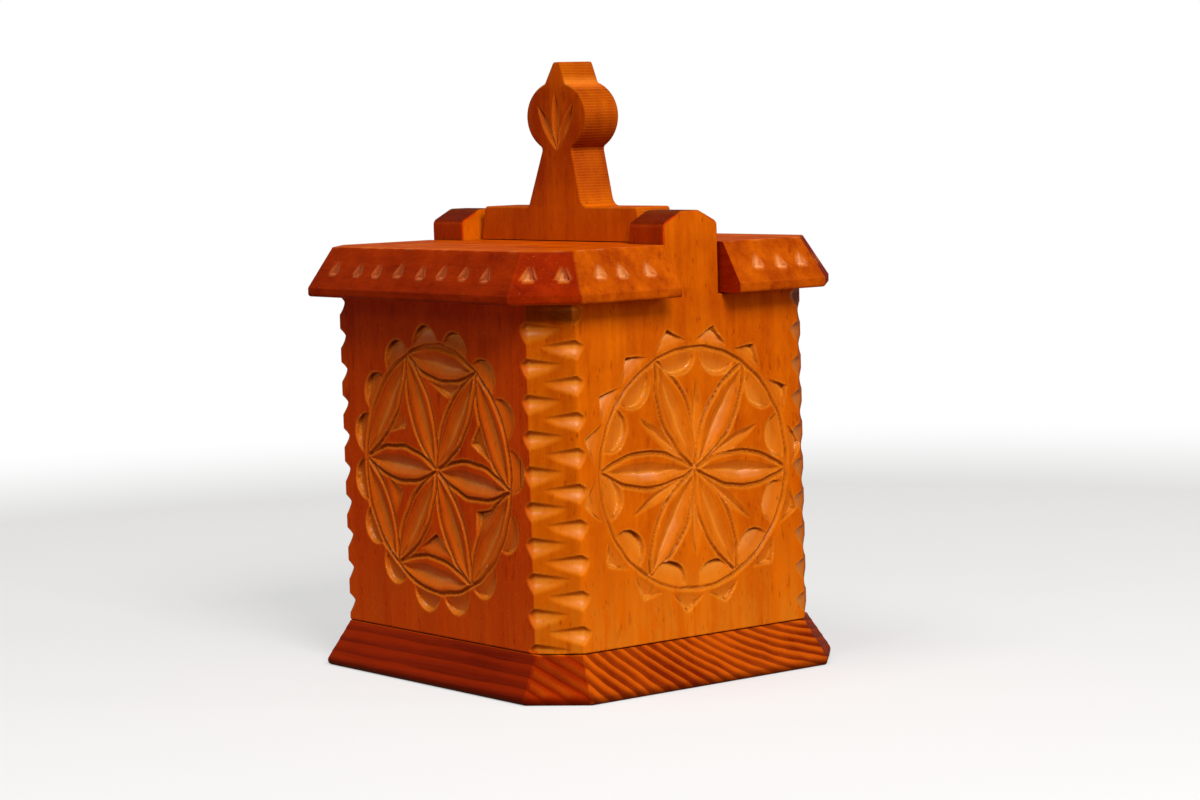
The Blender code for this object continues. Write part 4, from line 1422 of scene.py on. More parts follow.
@dataclass(kw_only=True)
class LidHandle(Piece):
    """The handle: bar, stem, disc and crown sawn from one board, with leaves on both faces."""

    name: str = "lid_handle"
    body: str = "lid"
    slot: str = "lid_wood"
    bar_height: float = 10.2
    end_slope: float = 2.2
    end_bend: float = 1.0
    stem_foot_left: float = 15.2
    stem_foot_right: float = 11.5
    stem_bend: float = 1.2
    fillet: float = 3.6
    neck: Pair = (7.1, 17.8)
    disc: Pair = (14.65, 10.8)
    disc_steps: int = 60
    disc_trim: int = 3
    crown_foot: float = 5.2
    crown_top: float = 1.5
    crown_height: float = 6.4
    crown_lean: float = 0.8
    crown_bends: Pair = (1.5, 0.9)
    easing: float = 0.6
    pitch: float = 0.45
    leaf: Petal = Petal.plain(1.75, 1.2)
    leaf_spread: float = 32.0
    leaf_length: float = 18.2
    leaf_drop: float = 10.2
    outer_leaf_trim: float = 1.6
    patch_heights: tuple[float, ...] = (-10.8, -4.8, 4.0, 8.8)
    patch_halves: tuple[float, ...] = (4.6, 9.9, 9.9, 6.0)
    patch_pitch: Pair = (0.027, 0.26)
    patch_margin: int = 2

    @property
    def disc_height(self) -> float:
        """Return the height of the disc's middle."""
        half_width, half_height = self.disc
        return self.low[2] + self.bar_height + self.neck[1] + half_height * math.sin(
            math.acos(self.neck[0] / half_width))

    def disc_arc(self, start: float, end: float) -> Array:
        """Return points of the disc, (a cos t, b sin t), between two angles in radians."""
        wide, tall = self.disc
        angle = np.linspace(start, end, self.disc_steps)
        return np.stack((wide * np.cos(angle), self.disc_height + tall * np.sin(angle)), 1)

    def outline(self) -> Array:
        """Return the outline seen from the front, from the lower left corner over the top.

        The disc is an ellipse between the neck and the crown's foot, and the bends where it meets them take
        the place of its first and last few points.
        """
        half, foot, bar = self.high[0], self.low[2], self.low[2] + self.bar_height
        wide, tall = self.disc
        lower, upper = math.acos(self.neck[0] / wide), math.acos(self.crown_foot / wide)
        peak = self.disc_height + tall * math.sin(upper) + self.crown_height
        left_disc = self.disc_arc(math.pi + lower, math.pi - upper)
        right_disc = self.disc_arc(upper, -lower)
        crown_bend, peak_bend = self.crown_bends
        inner = slice(self.disc_trim, -self.disc_trim)
        corners = [(-half, foot, 0.0), (self.end_slope - half, bar, self.end_bend),
                   (-self.stem_foot_left, bar, self.stem_bend)]
        for arc, first_bend, last_bend in ((left_disc, self.stem_bend, crown_bend),
                                           (right_disc, crown_bend, self.stem_bend)):
            corners += [(*arc[0], first_bend), *((*spot, 0.0) for spot in arc[inner]),
                        (*arc[-1], last_bend)]
            if arc is left_disc:
                corners += [(self.crown_lean + way * self.crown_top, peak, peak_bend) for way in (-1, 1)]
        corners += [(self.stem_foot_right, bar, self.fillet),
                    (half - self.end_slope, bar, self.end_bend), (half, foot, 0.0)]
        return rounded_path(corners, self.pitch)

    def leaves(self, side: Side) -> tuple[Array, Array]:
        """Return the carved middle of one face, with three leaves that spread from one foot.

        Its columns are even shares of its half width, which changes with the height.

        Args:
            side: The face's side of the box.

        Returns:
            Points and marks in rows and columns.
        """
        share = graded((-1.0, 1.0), self.patch_pitch[:1])
        up = graded((self.patch_heights[0], self.patch_heights[-1]), self.patch_pitch[1:])
        half = np.interp(up, self.patch_heights, self.patch_halves)
        place, height = share * half[:, None], up[:, None] + 0.0 * share
        total = np.zeros(place.shape)
        start = np.array((0.0, -self.leaf_drop))
        for leaf in (-1, 0, 1):
            turn = math.radians(leaf * self.leaf_spread)
            way = np.array((math.sin(turn), math.cos(turn)))
            end = start + way * (self.leaf_length - self.outer_leaf_trim * abs(leaf))
            total = np.maximum(total, self.leaf.depth(place, height, start, end))
        inner = slice(self.patch_margin, -self.patch_margin)
        inside = np.zeros(total.shape)
        inside[inner, inner] = 1.0
        total = total * inside
        marks = carving_marks(total, share * half.max(), up) * inside[..., None]
        return side.place(place, total, height + self.disc_height), marks

    def skin(self) -> Skin:
        """Return the handle as patches: its rim, two faces with leaves, and its flat foot.

        On the rim the disc's shoulders take a painted highlight, and the rim is darker all round and above
        the disc's middle, with painted shade where the disc faces down.
        """
        front, back = Side(Turn.FRONT, -self.low[1]), Side(Turn.BACK, self.high[1])
        outline = self.outline()
        tube = front.sweep(outline, self.high[1] - self.low[1], self.easing)
        half_height, facing = self.disc[1], -path_normals(outline)[:, 1]
        above = outline[:, 1] - self.disc_height
        # Painted highlight on the disc's shoulders.
        painted_highlight = 0.8 * ratio(2.4 - np.abs(above - half_height * 0.95), 0.0, 2.4) * (facing > 0.1)
        in_disc = ratio(above, -half_height * 1.02, -half_height) * ratio(-above, -3.0, 0.0)
        # Darker all round the rim and above the disc's middle, with painted shade where the disc faces down.
        rim_darkening = (0.22 + 0.20 * ratio(above, 0.0, half_height) + 0.45 * ratio(-facing, -0.3, 0.7) * in_disc)
        rim = np.stack((0.5 * painted_highlight, rim_darkening * (1.0 - painted_highlight), painted_highlight), 1)
        skin = Skin()
        skin.add_grid(tube, np.broadcast_to(rim, tube.shape))
        for side, edge in ((front, tube[0]), (back, tube[-1])):
            carved, marks = self.leaves(side)
            skin.add_grid(carved, marks)
            border = (carved[0], carved[1:, -1], carved[-1, -2::-1], carved[-2:0:-1, 0])
            skin.add_flat(side.out, edge, holes=[np.concatenate(border)])
        holes, _ = self.add_bores(skin, np.array(DOWN))
        skin.add_flat(DOWN, tube[:, 0], tube[::-1, -1], holes=holes)
        return skin


Operand = "Wire | float | tuple[float, ...]"


def operator(operation: str, swapped: bool = False) -> Callable[[Wire, Operand], Wire]:
    """Return a method for an arithmetic operator.

    Args:
        operation: The operation of the node that it adds.
        swapped: Whether the other value comes first, as in 1 - mask.
    """
    def method(wire: Wire, other: Operand) -> Wire:
        """Return the operation on a wire and another value."""
        return wire.graph.work(operation, *((other, wire) if swapped else (wire, other)))
    return method


@dataclass(frozen=True)
class Wire:
    """A value inside a shader, with the arithmetic that its nodes can do."""

    graph: Graph
    socket: bpy.types.NodeSocket

    __add__, __radd__ = operator("ADD"), operator("ADD", True)
    __sub__, __rsub__ = operator("SUBTRACT"), operator("SUBTRACT", True)
    __mul__, __rmul__ = operator("MULTIPLY"), operator("MULTIPLY", True)
    __truediv__, __rtruediv__ = operator("DIVIDE"), operator("DIVIDE", True)
    __pow__, __rpow__ = operator("POWER"), operator("POWER", True)

    def share(self, low: float, high: float) -> Wire:
        """Return how far the value lies between two limits, started and ended gently."""
        settings = {"interpolation_type": "SMOOTHSTEP"}
        return self.graph.node("ShaderNodeMapRange", settings, {0: self, 1: low, 2: high})


class Graph:
    """A shader under construction, on a material or world that keeps its own nodes."""

    def __init__(self, owner: bpy.types.Material | bpy.types.World) -> None:
        """Start on the owner's node tree."""
        owner.use_nodes = True
        self.owner = owner
        self.tree = owner.node_tree

    def finish(self, kind: str, wires: dict[str, Wire], fixed: dict[str, float | tuple]) -> None:
        """Set the inputs of a shader that the tree already holds.

        Args:
            kind: The shader's name in the tree.
            wires: What changes over the surface, by input.
            fixed: What is the same all over, by input.
        """
        inputs = self.tree.nodes[kind].inputs
        for name, wire in wires.items():
            self.tree.links.new(wire.socket, inputs[name])
        for name, value in fixed.items():
            inputs[name].default_value = value

    def node(self, kind: str, settings: dict[str, object], inputs: dict[int | str, Operand],
             output: int | str = 0) -> Wire:
        """Add a node.

        Args:
            kind: Blender's name of the node type.
            settings: Properties that are set before the inputs.
            inputs: Values or wires by input name or number.
            output: Name or number of the wanted output.

        Returns:
            The wire from that output.
        """
        made = self.tree.nodes.new(kind)
        for name, value in settings.items():
            setattr(made, name, value)
        for key, value in inputs.items():
            if isinstance(value, Wire):
                self.tree.links.new(value.socket, made.inputs[key])
            else:
                made.inputs[key].default_value = value
        return Wire(self, made.outputs[output])

    def work(self, operation: str, *operands: Operand) -> Wire:
        """Return a sum of numbers with Math, or of vectors with Vector Math.

        Args:
            operation: The node's operation.
            operands: Wires, numbers or vectors, in the order of its inputs.

        Returns:
            The wire with the result.
        """
        wires = [operand for operand in operands if isinstance(operand, Wire)]
        spatial = (any(wire.socket.type in {"VECTOR", "RGBA"} for wire in wires)
                   or any(isinstance(operand, tuple) for operand in operands))
        if spatial:
            operands = [(operand,) * 3 if isinstance(operand, (int, float)) else operand
                        for operand in operands]
        kind = "ShaderNodeVectorMath" if spatial else "ShaderNodeMath"
        return self.node(kind, {"operation": operation}, dict(enumerate(operands)))

    def largest(self, *values: Operand) -> Wire:
        """Return the largest of several numbers."""
        total = values[0]
        for value in values[1:]:
            total = self.work("MAXIMUM", total, value)
        return total

    def clipped(self, value: Wire) -> Wire:
        """Return a number held between 0 and 1."""
        return self.node("ShaderNodeClamp", {}, {0: value})

    def mix(self, share: Operand, first: Operand, second: Operand) -> Wire:
        """Return a colour between two others.

        Args:
            share: Share of the second colour.
            first, second: The two colours.

        Returns:
            The mixed colour.
        """
        colours = [(*value, 1.0) if isinstance(value, tuple) and len(value) == 3 else value
                   for value in (first, second)]
        settings = {"data_type": "RGBA", "blend_type": "MIX"}
        return self.node("ShaderNodeMix", settings, {0: share, 6: colours[0], 7: colours[1]}, 2)

    def place(self, output: str = "Object") -> Wire:
        """Return the place in the box's frame, or another output of Texture Coordinate."""
        return self.node("ShaderNodeTexCoord", {}, {}, output)

    def seen(self) -> Wire:
        """Return 1 where the camera looks straight at a surface, and 0 for its light."""
        return self.node("ShaderNodeLightPath", {}, {}, "Is Camera Ray")

    def bump(self, height: Wire, strength: float, distance: float) -> Wire:
        """Return a normal that is bent by a height, as large as a distance in metres."""
        inputs = {"Strength": strength, "Distance": distance, "Height": height}
        return self.node("ShaderNodeBump", {}, inputs)

    def mark(self, name: str) -> Wire:
        """Return a mark that the carved surfaces carry."""
        return self.node("ShaderNodeAttribute", {"attribute_name": name}, {}, "Fac")

    def part(self, place: Wire, axis: str) -> Wire:
        """Return one coordinate of a vector."""
        return self.node("ShaderNodeSeparateXYZ", {}, {0: place}, axis)


class Grain(Enum):
    """The way that a board's fibres run, as stretched axes."""

    ALONG_X = (1.0, 0.0, 0.0)
    ALONG_Y = (0.0, 1.0, 0.0)
    ALONG_Z = (0.0, 0.0, 1.0)

    def scale(self, across: float, along: float) -> Triple:
        """Return the scale of a pattern, with waves of the given lengths in millimetres."""
        return tuple(1.0 / (along if part else across) / MILLIMETRE for part in self.value)


@dataclass(frozen=True)
class Figure:
    """A cloudy pattern: its lengths across and along the grain in millimetres, and its detail."""

    across: float
    along: float
    detail: float = 2.0
    roughness: float = 0.5

    def drawn(self, graph: Graph, place: Wire, grain: Grain) -> Wire:
        """Return the pattern on a board whose fibres run along the grain."""
        return graph.node("ShaderNodeTexNoise", {}, {
            "Vector": place * grain.scale(self.across, self.along), "Scale": 1.0,
            "Detail": self.detail, "Roughness": self.roughness})


@dataclass(frozen=True)
class BeechFinish:
    """Stained and varnished beech, with fine fibres and short dark flecks.

    Pairs called limits are where a share starts and where it is full.
    """

    name: str
    grain: Grain
    light: Triple
    dark: Triple
    fleck: Triple
    pale_wood_and_highlight: Triple
    painted_shade: Triple
    painted_glint: Triple = (1.0, 0.60, 0.34)
    side_shade_tint: Triple = (1.0, 0.46, 0.30)
    top_light_tint: Triple = (1.0, 1.0, 1.0)
    top_light_limits: Pair = (0.8, 0.95)
    bands: Figure = Figure(9.0, 120.0)
    streaks: Figure = Figure(2.0, 45.0, 3.0, 0.6)
    fibres: Figure = Figure(0.30, 4.0)
    cloud: Figure = Figure(5.0, 9.0, 4.0, 0.65)
    spots: Figure = Figure(2.2, 8.0)
    fleck_groups: Figure = Figure(2.6, 6.0, 1.0)
    grains: Figure = Figure(0.5, 0.6, 1.0)
    fleck_cells: Pair = (1.5, 4.2)
    fleck_limits: Pair = (0.08, 0.30)
    group_limits: Pair = (0.50, 0.60)
    band_tone: float = 1.2
    streak_tone: float = 0.7
    fibre_tone: float = 0.35
    mottle: float = 1.2
    tone_drop: float = 0.70
    shade: float = 0.0
    shade_from: Pair = (0.088, 0.112)
    shade_to: Pair = (0.113, 0.120)
    fleck_share: float = 0.60
    spot_limits: Pair = (0.63, 0.74)
    spot_share: float = 0.40
    end_limits: Pair = (0.3, 0.8)
    end_stain: float = 0.0
    foot_limits: Pair = (0.014, 0.048)
    foot_patches: Pair = (0.80, 1.15)
    pale_foot: float = 0.0
    cut_share: float = 0.50
    side_shade_cut_fade: float = 0.0
    wear_share: float = 0.38
    shade_power: float = 1.3
    shade_share: float = 0.96
    dust: float = 0.20
    pale_dust: Pair = (0.66, 0.76)
    dark_dust: Pair = (0.24, 0.34)
    glint_wear: Pair = (0.3, 0.9)
    glint_grains: Pair = (0.64, 0.74)
    glint_share: float = 0.5
    saw_lines: float = 0.0
    saw_pitch: float = 0.00085
    saw_wobble: float = 5.0
    roughness: float = 0.38
    rough_fibres: float = 0.20
    rough_cloud: float = 0.16
    rough_drop: float = 0.18
    relief: float = 0.4
    fleck_relief: float = 0.5
    saw_relief: float = 2.0
    bump: Pair = (0.30, 0.00012)
    gloss: float = 0.07
    gloss_tint: Triple = (1.0, 0.35, 0.08)
    coat: float = 0.0
    coat_limits: Pair = (0.2, 0.9)
    side_shade_coat_drop: float = 0.2
    coat_roughness: float = 0.24

    def material(self) -> bpy.types.Material:
        """Return the finish as a material.

        Flecks are the middles of stretched cells, in groups.  The tone goes from the light colour to the
        dark one by slow bands, streaks, fibres and mottling, and darkens in a band of height, a painted
        shade.
        Flecks, spots and end grain take more stain, and the foot is paler in patches.  Sides that face along
        Y take a painted shade tint, and faces that look up a painted light tint.  Over that come the pale
        wood of cuts, wear with painted light and highlights, painted shade in creases and under overhangs,
        grains of dust, painted glints and saw lines, one after the other.
        """
        graph = Graph(bpy.data.materials.new(self.name))
        place, facing = graph.place(), graph.place("Normal")
        bands, streaks, fibres, cloud, spots, grains, groups = (
            figure.drawn(graph, place, self.grain) for figure in (
                self.bands, self.streaks, self.fibres, self.cloud, self.spots, self.grains,
                self.fleck_groups))
        cells = graph.node("ShaderNodeTexVoronoi", {}, {
            "Vector": place * self.grain.scale(*self.fleck_cells), "Scale": 1.0}, "Distance")
        fleck = (1.0 - cells.share(*self.fleck_limits)) * groups.share(*self.group_limits)
        end_grain = graph.work("ABSOLUTE", graph.node(
            "ShaderNodeVectorMath", {"operation": "DOT_PRODUCT"}, {0: facing, 1: self.grain.value},
            "Value"))
        level = graph.part(place, "Z")
        # Painted shade in a band of height: below the lid's edge on the body, over the upper stem and the
        # disc on the handle.
        below = level.share(*self.shade_from) * (1.0 - level.share(*self.shade_to))
        tone = (bands * self.band_tone + streaks * self.streak_tone + fibres * self.fibre_tone
                + (cloud - 0.5) * self.mottle + below * self.shade - self.tone_drop)
        stain = graph.largest(fleck * self.fleck_share, spots.share(*self.spot_limits) * self.spot_share,
                              end_grain.share(*self.end_limits) * self.end_stain)
        # Paler in patches towards the foot.
        patches = (cloud + streaks).share(*self.foot_patches)
        foot = (1.0 - level.share(*self.foot_limits)) * patches * self.pale_foot
        # Marks: cut, painted shade, wear with painted light, and deep, the painted side shade.
        cut, painted_shade, wear_and_painted_light, deep = (graph.mark(name) for name in ("cut", "painted_shade", "wear_and_painted_light", "deep"))
        upward = graph.part(facing, "Z").share(*self.top_light_limits)
        # Painted glints of the varnish, in grains on worn and highlit edges.
        painted_glint = wear_and_painted_light.share(*self.glint_wear) * grains.share(*self.glint_grains)
        sawn = graph.work("SINE", level * (2.0 * math.pi / self.saw_pitch) + cloud * self.saw_wobble)
        sawn = sawn * streaks * (1.0 - deep) * self.saw_lines
        colour = graph.mix(graph.clipped(tone), self.light, self.dark)
        colour = graph.mix(stain, colour, self.fleck)
        colour = graph.mix(foot, colour, self.pale_wood_and_highlight)
        # Painted shade tints the sides that face along Y, and painted light brightens the faces that look
        # up.
        for share, tint in ((deep, self.side_shade_tint), (upward, self.top_light_tint)):
            colour = graph.mix(share, colour, colour * tint)
        # The pale wood of cuts fades on the sides with the painted side shade.
        for share, paint in (
            (cut * ((1.0 - deep * self.side_shade_cut_fade) * self.cut_share), self.pale_wood_and_highlight),
            (wear_and_painted_light * self.wear_share, self.pale_wood_and_highlight),
            (painted_shade ** self.shade_power * self.shade_share, self.painted_shade),
            (grains.share(*self.pale_dust) * self.dust, self.pale_wood_and_highlight),
            ((1.0 - grains.share(*self.dark_dust)) * self.dust, self.fleck),
            (painted_glint * self.glint_share, self.painted_glint),
            (graph.clipped(sawn), self.pale_wood_and_highlight),
        ):
            colour = graph.mix(share, colour, paint)
        rough = self.roughness + fibres * self.rough_fibres + cloud * self.rough_cloud - self.rough_drop
        height = (fibres * self.relief + streaks * self.relief + cloud * self.relief
                  - fleck * self.fleck_relief + sawn * self.saw_relief)
        varnished = cut.share(*self.coat_limits) * (1.0 - painted_shade) * (1.0 - deep * self.side_shade_coat_drop)
        graph.finish("Principled BSDF", {
            "Base Color": colour, "Roughness": rough, "Normal": graph.bump(height, *self.bump),
            "Coat Weight": varnished * self.coat,
        }, {"Coat Roughness": self.coat_roughness, "Specular IOR Level": self.gloss,
            "Specular Tint": (*self.gloss_tint, 1.0)})
        return graph.owner


@dataclass(frozen=True)
class PineFinish:
    """Dark stained softwood with hard and soft year rings."""

    name: str
    rings: Rings
    soft: Triple
    hard: Triple
    painted_shade: Triple
    side_shade_tint: Triple = (0.62, 0.25, 0.20)
    wobble: Figure = Figure(12.0, 40.0)
    wobble_reach: float = 1.8
    spread: Figure = Figure(26.0, 60.0, 1.0)
    spread_reach: float = 0.9
    hard_rise: Pair = (0.12, 0.70)
    hard_fall: Pair = (0.90, 1.0)
    fibres: Figure = Figure(0.35, 9.0, 3.0)
    cloud: Figure = Figure(14.0, 50.0, 3.0)
    hard_tone: float = 0.80
    side_shade_fade: float = 0.40
    side_shade_tone: float = 0.22
    fibre_tone: float = 0.4
    cloud_tone: float = 1.1
    tone_drop: float = 0.76
    shade_share: float = 0.75
    roughness: float = 0.42
    hard_shine: float = 0.10
    rough_fibres: float = 0.15
    rough_drop: float = 0.06
    hard_relief: float = 0.6
    fibre_relief: float = 0.5
    bump: Pair = (0.4, 0.0002)
    gloss: float = 0.06
    gloss_tint: Triple = (1.0, 0.35, 0.08)

    def material(self) -> bpy.types.Material:
        """Return the finish as a material, toned by its rings, fibres and slow clouds.

        The ring number is that of Rings.count, at the distance from the rings' axis with a slow wobble.  The
        hard share rises within a ring and falls quickly at its end.
        """
        graph, rings = Graph(bpy.data.materials.new(self.name)), self.rings
        place = graph.place()
        wobble, spread, fibres, cloud = (
            figure.drawn(graph, place, Grain.ALONG_X)
            for figure in (self.wobble, self.spread, self.fibres, self.cloud))
        millimetres = place * (1.0 / MILLIMETRE)
        y, z = graph.part(millimetres, "Y"), graph.part(millimetres, "Z")
        radius = ((y - rings.middle[0]) ** 2.0 + (z - rings.middle[1]) ** 2.0) ** 0.5
        radius = radius + wobble * self.wobble_reach - self.wobble_reach / 2
        inner = (radius - rings.start) * (rings.growth / rings.spacing) + 1.0
        share = graph.work("FRACT", graph.work("LOGARITHM", inner, math.e) / rings.growth)
        rise = (share + spread * self.spread_reach - self.spread_reach / 2).share(*self.hard_rise)
        hard = rise * (1.0 - share.share(*self.hard_fall))
        # deep is the painted shade of faces along Y, which dims the rings and darkens the tone.
        deep = graph.mark("deep")
        tone = (hard * (self.hard_tone - deep * self.side_shade_fade) + deep * self.side_shade_tone
                + fibres * self.fibre_tone + cloud * self.cloud_tone - self.tone_drop)
        colour = graph.mix(graph.clipped(tone), self.soft, self.hard)
        # Painted shade in the relief's creases and towards the foot.
        colour = graph.mix(graph.mark("painted_shade") * self.shade_share, colour, self.painted_shade)
        colour = graph.mix(deep, colour, colour * self.side_shade_tint)
        rough = self.roughness - hard * self.hard_shine + fibres * self.rough_fibres - self.rough_drop
        height = hard * self.hard_relief + fibres * self.fibre_relief
        graph.finish("Principled BSDF", {
            "Base Color": colour, "Roughness": rough, "Normal": graph.bump(height, *self.bump),
        }, {"Specular IOR Level": self.gloss, "Specular Tint": (*self.gloss_tint, 1.0)})
        return graph.owner


@dataclass(frozen=True)
class Lamp:
    """A square lamp: its place and side in metres, its power in watts and its colour."""

    name: str
    place: Triple
    size: float
    power: float
    colour: Triple = (1.0, 0.98, 0.96)

    def hang(self, target: Triple) -> None:
        """Add the lamp to the scene, turned towards a point."""
        data = bpy.data.lights.new(self.name, "AREA")
        data.energy, data.size, data.color = self.power, self.size, self.colour
        made = bpy.data.objects.new(self.name, data)
        bpy.context.scene.collection.objects.link(made)
        made.location = self.place
        made.rotation_euler = (Vector(target) - made.location).to_track_quat("-Z", "Y").to_euler()


@dataclass(frozen=True)
class Studio:
    """Floor, lamps, surroundings and camera, with lengths in metres and angles in degrees."""

    lamps: tuple[Lamp, ...]
    lamp_target: Triple = (0.0, 0.0, 0.08)
    camera_place: Triple = (0.75745, -0.58437, 0.16598)
    camera_turn: Triple = (51.82, 5.13, -1.64)
    camera_lens: float = 94.07
    camera_sensor: float = 36.0
    floor_radii: Pair = (0.05, 12.0)
    floor_rings: int = 24
    floor_sides: int = 96
    floor_grey: Triple = (0.80, 0.80, 0.80)
    floor_bounce: Triple = (0.42, 0.26, 0.14)
    floor_fade: Pair = (0.16, 0.75)
    floor_lift: float = 0.5
    ambient: float = 0.10

    def floor(self) -> bpy.types.Object:
        """Return a round floor: radius * (cos a, sin a), close together near the box.

        Towards its rim it turns into the white of the background.  What it throws back on the box is the
        warm light of the wood that stood there.
        """
        rings = np.geomspace(*self.floor_radii, self.floor_rings)
        radius = np.concatenate(([0.0], rings))[:, None] / MILLIMETRE
        angle = np.linspace(0.0, 2.0 * math.pi, self.floor_sides + 1)[None, :]
        points = np.stack((radius * np.cos(angle), radius * np.sin(angle), 0.0 * radius * angle), 2)
        points[:, -1] = points[:, 0]
        skin = Skin()
        skin.add_grid(points[:, ::-1])
        graph = Graph(bpy.data.materials.new("floor"))
        tree, seen = graph.tree, graph.seen()
        far = graph.node("ShaderNodeVectorMath", {"operation": "LENGTH"}, {0: graph.place()}, "Value")
        colour = graph.mix(seen, self.floor_bounce, self.floor_grey)
        graph.finish("Principled BSDF", {"Base Color": colour}, {"Roughness": 0.9})
        white = graph.node("ShaderNodeEmission", {}, {
            "Color": (1.0, 1.0, 1.0, 1.0), "Strength": seen * (1.0 - self.ambient) + self.ambient})
        share = graph.largest(far.share(*self.floor_fade), seen * self.floor_lift)
        blend = graph.node("ShaderNodeMixShader", {}, {0: share, 2: white})
        tree.links.new(tree.nodes["Principled BSDF"].outputs[0], blend.socket.node.inputs[1])
        graph.finish("Material Output", {"Surface": blend}, {})
        made = skin.build("floor", graph.owner)
        return made

    def camera(self) -> None:
        """Add the camera at the photograph's viewpoint, turned by yaw, pitch and roll."""
        yaw, pitch, roll = (math.radians(angle) for angle in self.camera_turn)
        ahead = Vector((-math.sin(yaw) * math.cos(pitch), math.cos(yaw) * math.cos(pitch), -math.sin(pitch)))
        right = ahead.cross(Vector(UP)).normalized()
        up = right.cross(ahead)
        leaning_right = right * math.cos(roll) + up * math.sin(roll)
        leaning_up = up * math.cos(roll) - right * math.sin(roll)
        data = bpy.data.cameras.new("camera")
        data.lens, data.sensor_width = self.camera_lens, self.camera_sensor
        made = bpy.data.objects.new("camera", data)
        bpy.context.scene.collection.objects.link(made)
        rows = zip(leaning_right, leaning_up, -ahead, self.camera_place)
        made.matrix_world = Matrix((*rows, (0.0, 0.0, 0.0, 1.0)))
        bpy.context.scene.camera = made

    def build(self) -> None:
        """Set the stage: floor, lamps, camera and even light, with the background shown white."""
        self.floor()
        world = bpy.data.worlds.new("studio")
        bpy.context.scene.world = world
        graph = Graph(world)
        glow = graph.seen() * (1.0 - self.ambient) + self.ambient
        graph.finish("Background", {"Strength": glow}, {"Color": (1.0, 1.0, 1.0, 1.0)})
        for lamp in self.lamps:
            lamp.hang(self.lamp_target)
        self.camera()
        bpy.context.scene.view_settings.view_transform = "Standard"


FRONT_ROSETTE = SixPetalRosette(
    shift=1.3, height=63.5, radius=36.6,
    tips=(-6.0, 55.0, 112.0, 177.0, 234.0, 295.0),
    rim=(96.0, 73.0, 49.0, 27.0, 3.0, 335.0, 306.0, 283.0, 260.0, 233.0, 210.0, 188.0, 166.0, 144.0,
         120.0),
    field=((-4, 27, 14, 26, 7, 22), (-10, -24, 7, -26, -1, -19), (32, -8, 19, -21, 20, -11),
           (29, 3, 23, 17, 18, 9), (-17, 17, -26, 10, -15, 12), (-27, -3, -21, -15, -18, -7)),
)
SIDE_ROSETTE = TwelvePetalRosette(
    shift=0.9, height=63.3, radius=35.4,
    tips=(-5.0, 57.0, 113.0, 177.0, 239.0, 295.0),
    rim=(103.0, 79.0, 56.0, 31.0, 6.0, 338.0, 313.0, 285.0, 264.0, 240.0, 217.0, 190.0, 164.0, 146.0,
         126.0),
    narrow=(25, 87, 142, 206, 269, 321),
    moons=(100.0, 74.0, 40.0, 12.0, 338.0, 310.0, 281.0, 251.0, 220.0, 190.0, 157.0, 132.0),
)
BODY_BEECH = BeechFinish(
    "body_beech", Grain.ALONG_Z, light=(0.69, 0.139, 0.0008), dark=(0.43, 0.058, 0.0003),
    fleck=(0.22, 0.018, 0.0002), pale_wood_and_highlight=(0.84, 0.31, 0.018), painted_shade=(0.06, 0.003, 0.0002),
    side_shade_tint=(0.91, 0.44, 0.30), cut_share=0.50, side_shade_cut_fade=0.10, coat=0.8, shade=0.12,
    end_stain=0.5, pale_foot=0.30,
)
# Its cuts are painted pale pink, mostly on the bevels that don't face along Y: a painted highlight on the
# chip floors.  Faces that look up are painted lighter.
LID_BEECH = BeechFinish(
    "lid_beech", Grain.ALONG_X, light=(0.54, 0.095, 0.0008), dark=(0.27, 0.026, 0.0003),
    fleck=(0.18, 0.014, 0.0002), pale_wood_and_highlight=(1.0, 0.46, 0.150), painted_shade=(0.11, 0.005, 0.0002),
    side_shade_tint=(0.66, 0.22, 0.15), top_light_tint=(1.42, 1.30, 0.3), cloud=Figure(8.0, 13.0, 4.0, 0.65), mottle=1.8,
    fleck_share=0.25, dust=0.1, cut_share=0.90, side_shade_cut_fade=0.85, coat=0.9, gloss=0.04,
)
# The handle's shade is a painted shade over the upper stem and the disc.
HANDLE_BEECH = replace(
    LID_BEECH, name="handle_beech", grain=Grain.ALONG_Z, light=(0.61, 0.118, 0.0008),
    dark=(0.36, 0.042, 0.0003), pale_wood_and_highlight=(0.90, 0.28, 0.025), side_shade_tint=(0.94, 0.76, 0.50),
    mottle=1.4, cut_share=0.35, side_shade_cut_fade=0.0, saw_lines=0.26, coat=0.3, shade=0.36,
    shade_from=(0.139, 0.150), shade_to=(0.174, 0.178),
)
DOWEL_BEECH = BeechFinish(
    "dowel_beech", Grain.ALONG_Z, light=(0.60, 0.38, 0.19), dark=(0.44, 0.25, 0.11),
    fleck=(0.25, 0.13, 0.05), pale_wood_and_highlight=(0.62, 0.42, 0.23), painted_shade=(0.2, 0.1, 0.04),
    roughness=0.55, gloss_tint=(1.0, 1.0, 1.0),
)
BASE_PINE = PineFinish(
    "base_pine", Rings(), soft=(0.54, 0.086, 0.0012), hard=(0.15, 0.010, 0.0003),
    painted_shade=(0.05, 0.005, 0.001),
)
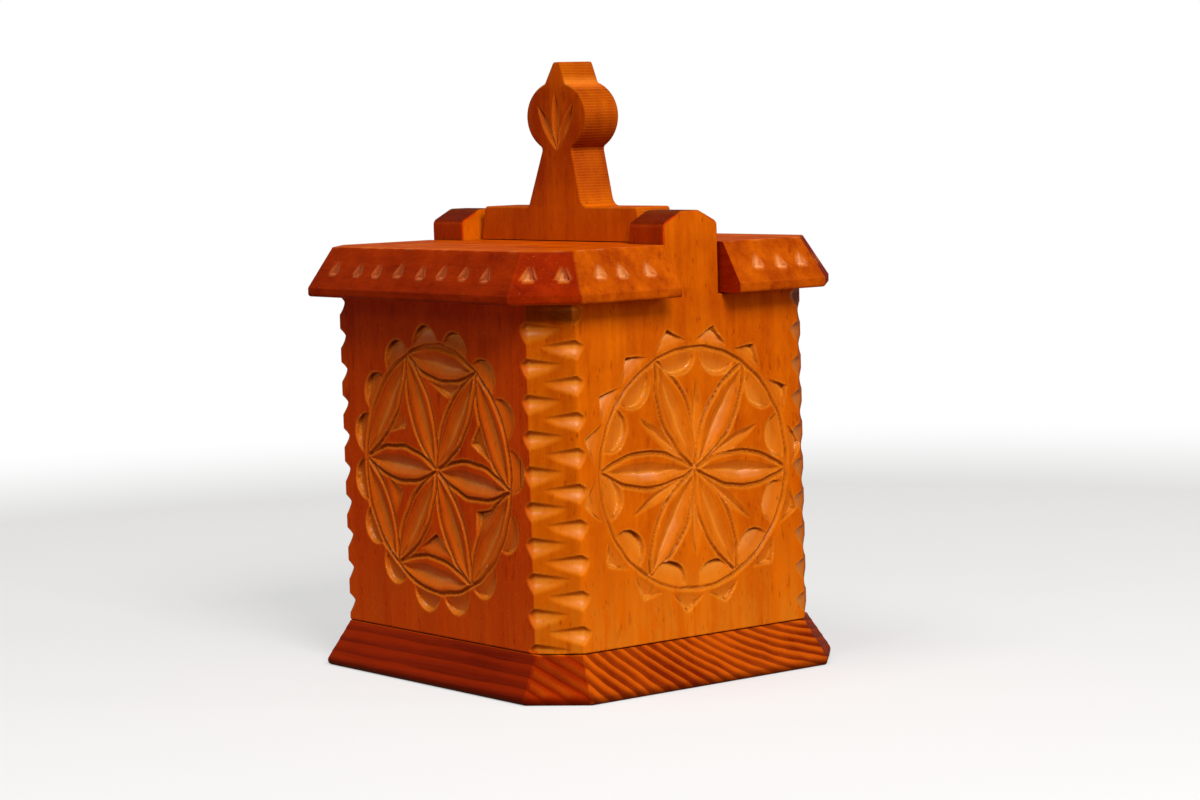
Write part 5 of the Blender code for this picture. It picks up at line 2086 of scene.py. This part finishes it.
# The key and top lamps light the box.  Each sheen lamp stands where the varnish of one side's
# cuts throws it into the camera.
STUDIO = Studio(lamps=(
    Lamp("key", (1.06, -0.32, 0.94), 0.50, 16.0, (1.0, 0.97, 0.93)),
    Lamp("top", (0.05, -0.50, 1.30), 0.60, 6.0),
    Lamp("right_sheen", (0.95, 0.90, 0.72), 0.24, 1.9),
    Lamp("near_sheen", (0.74, -0.88, 0.84), 0.24, 0.8),
    Lamp("left_sheen", (0.36, -1.15, 0.84), 0.24, 1.0),
    Lamp("low_sheen", (1.30, 0.24, 0.48), 0.46, 2.4),
    Lamp("far_sheen", (-1.13, -0.63, 0.50), 0.34, 0.35, (1.0, 0.80, 0.55)),
))
DOWEL_COUNTS = {"wall": 8, "base": 8, "handle": 2}


def main() -> None:
    """Build the box piece by piece, dress it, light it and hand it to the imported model."""
    logging.basicConfig(level=logging.INFO, format="%(name)s: %(message)s")
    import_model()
    names = [f"{kind}_dowel_{number}" for kind, count in DOWEL_COUNTS.items()
             for number in range(1, count + 1)]
    shared = {"sizes": BoxSizes.read(), "dowels": [Dowel.read(name) for name in names]}
    body_beech, lid_beech, handle_beech, base_pine, dowel_beech = (
        finish.material() for finish in (BODY_BEECH, LID_BEECH, HANDLE_BEECH, BASE_PINE, DOWEL_BEECH))
    for name, turn, seed in (("right_wall", Turn.RIGHT, 5), ("left_wall", Turn.LEFT, 6)):
        SideWall(name=name, turn=turn, rosette=SIDE_ROSETTE, neighbour=FRONT_ROSETTE,
                 notches=NotchRow(seed=seed), first_on_face=turn is Turn.RIGHT,
                 **shared).make(body_beech)
    for name, turn in (("front_wall", Turn.FRONT), ("back_wall", Turn.BACK)):
        FrontWall(name=name, turn=turn, rosette=FRONT_ROSETTE, **shared).make(body_beech)
    BaseBoard(rings=BASE_PINE.rings, **shared).make(base_pine)
    LidBoard(**shared).make(lid_beech)
    LidHandle(**shared).make(handle_beech)
    for name in names:
        for slot in bpy.data.objects[name].material_slots:
            slot.material = dowel_beech
        LOG.info("%s: a node of the packed model, in %s", name, dowel_beech.name)
    STUDIO.build()


if __name__ == "__main__":
    main()
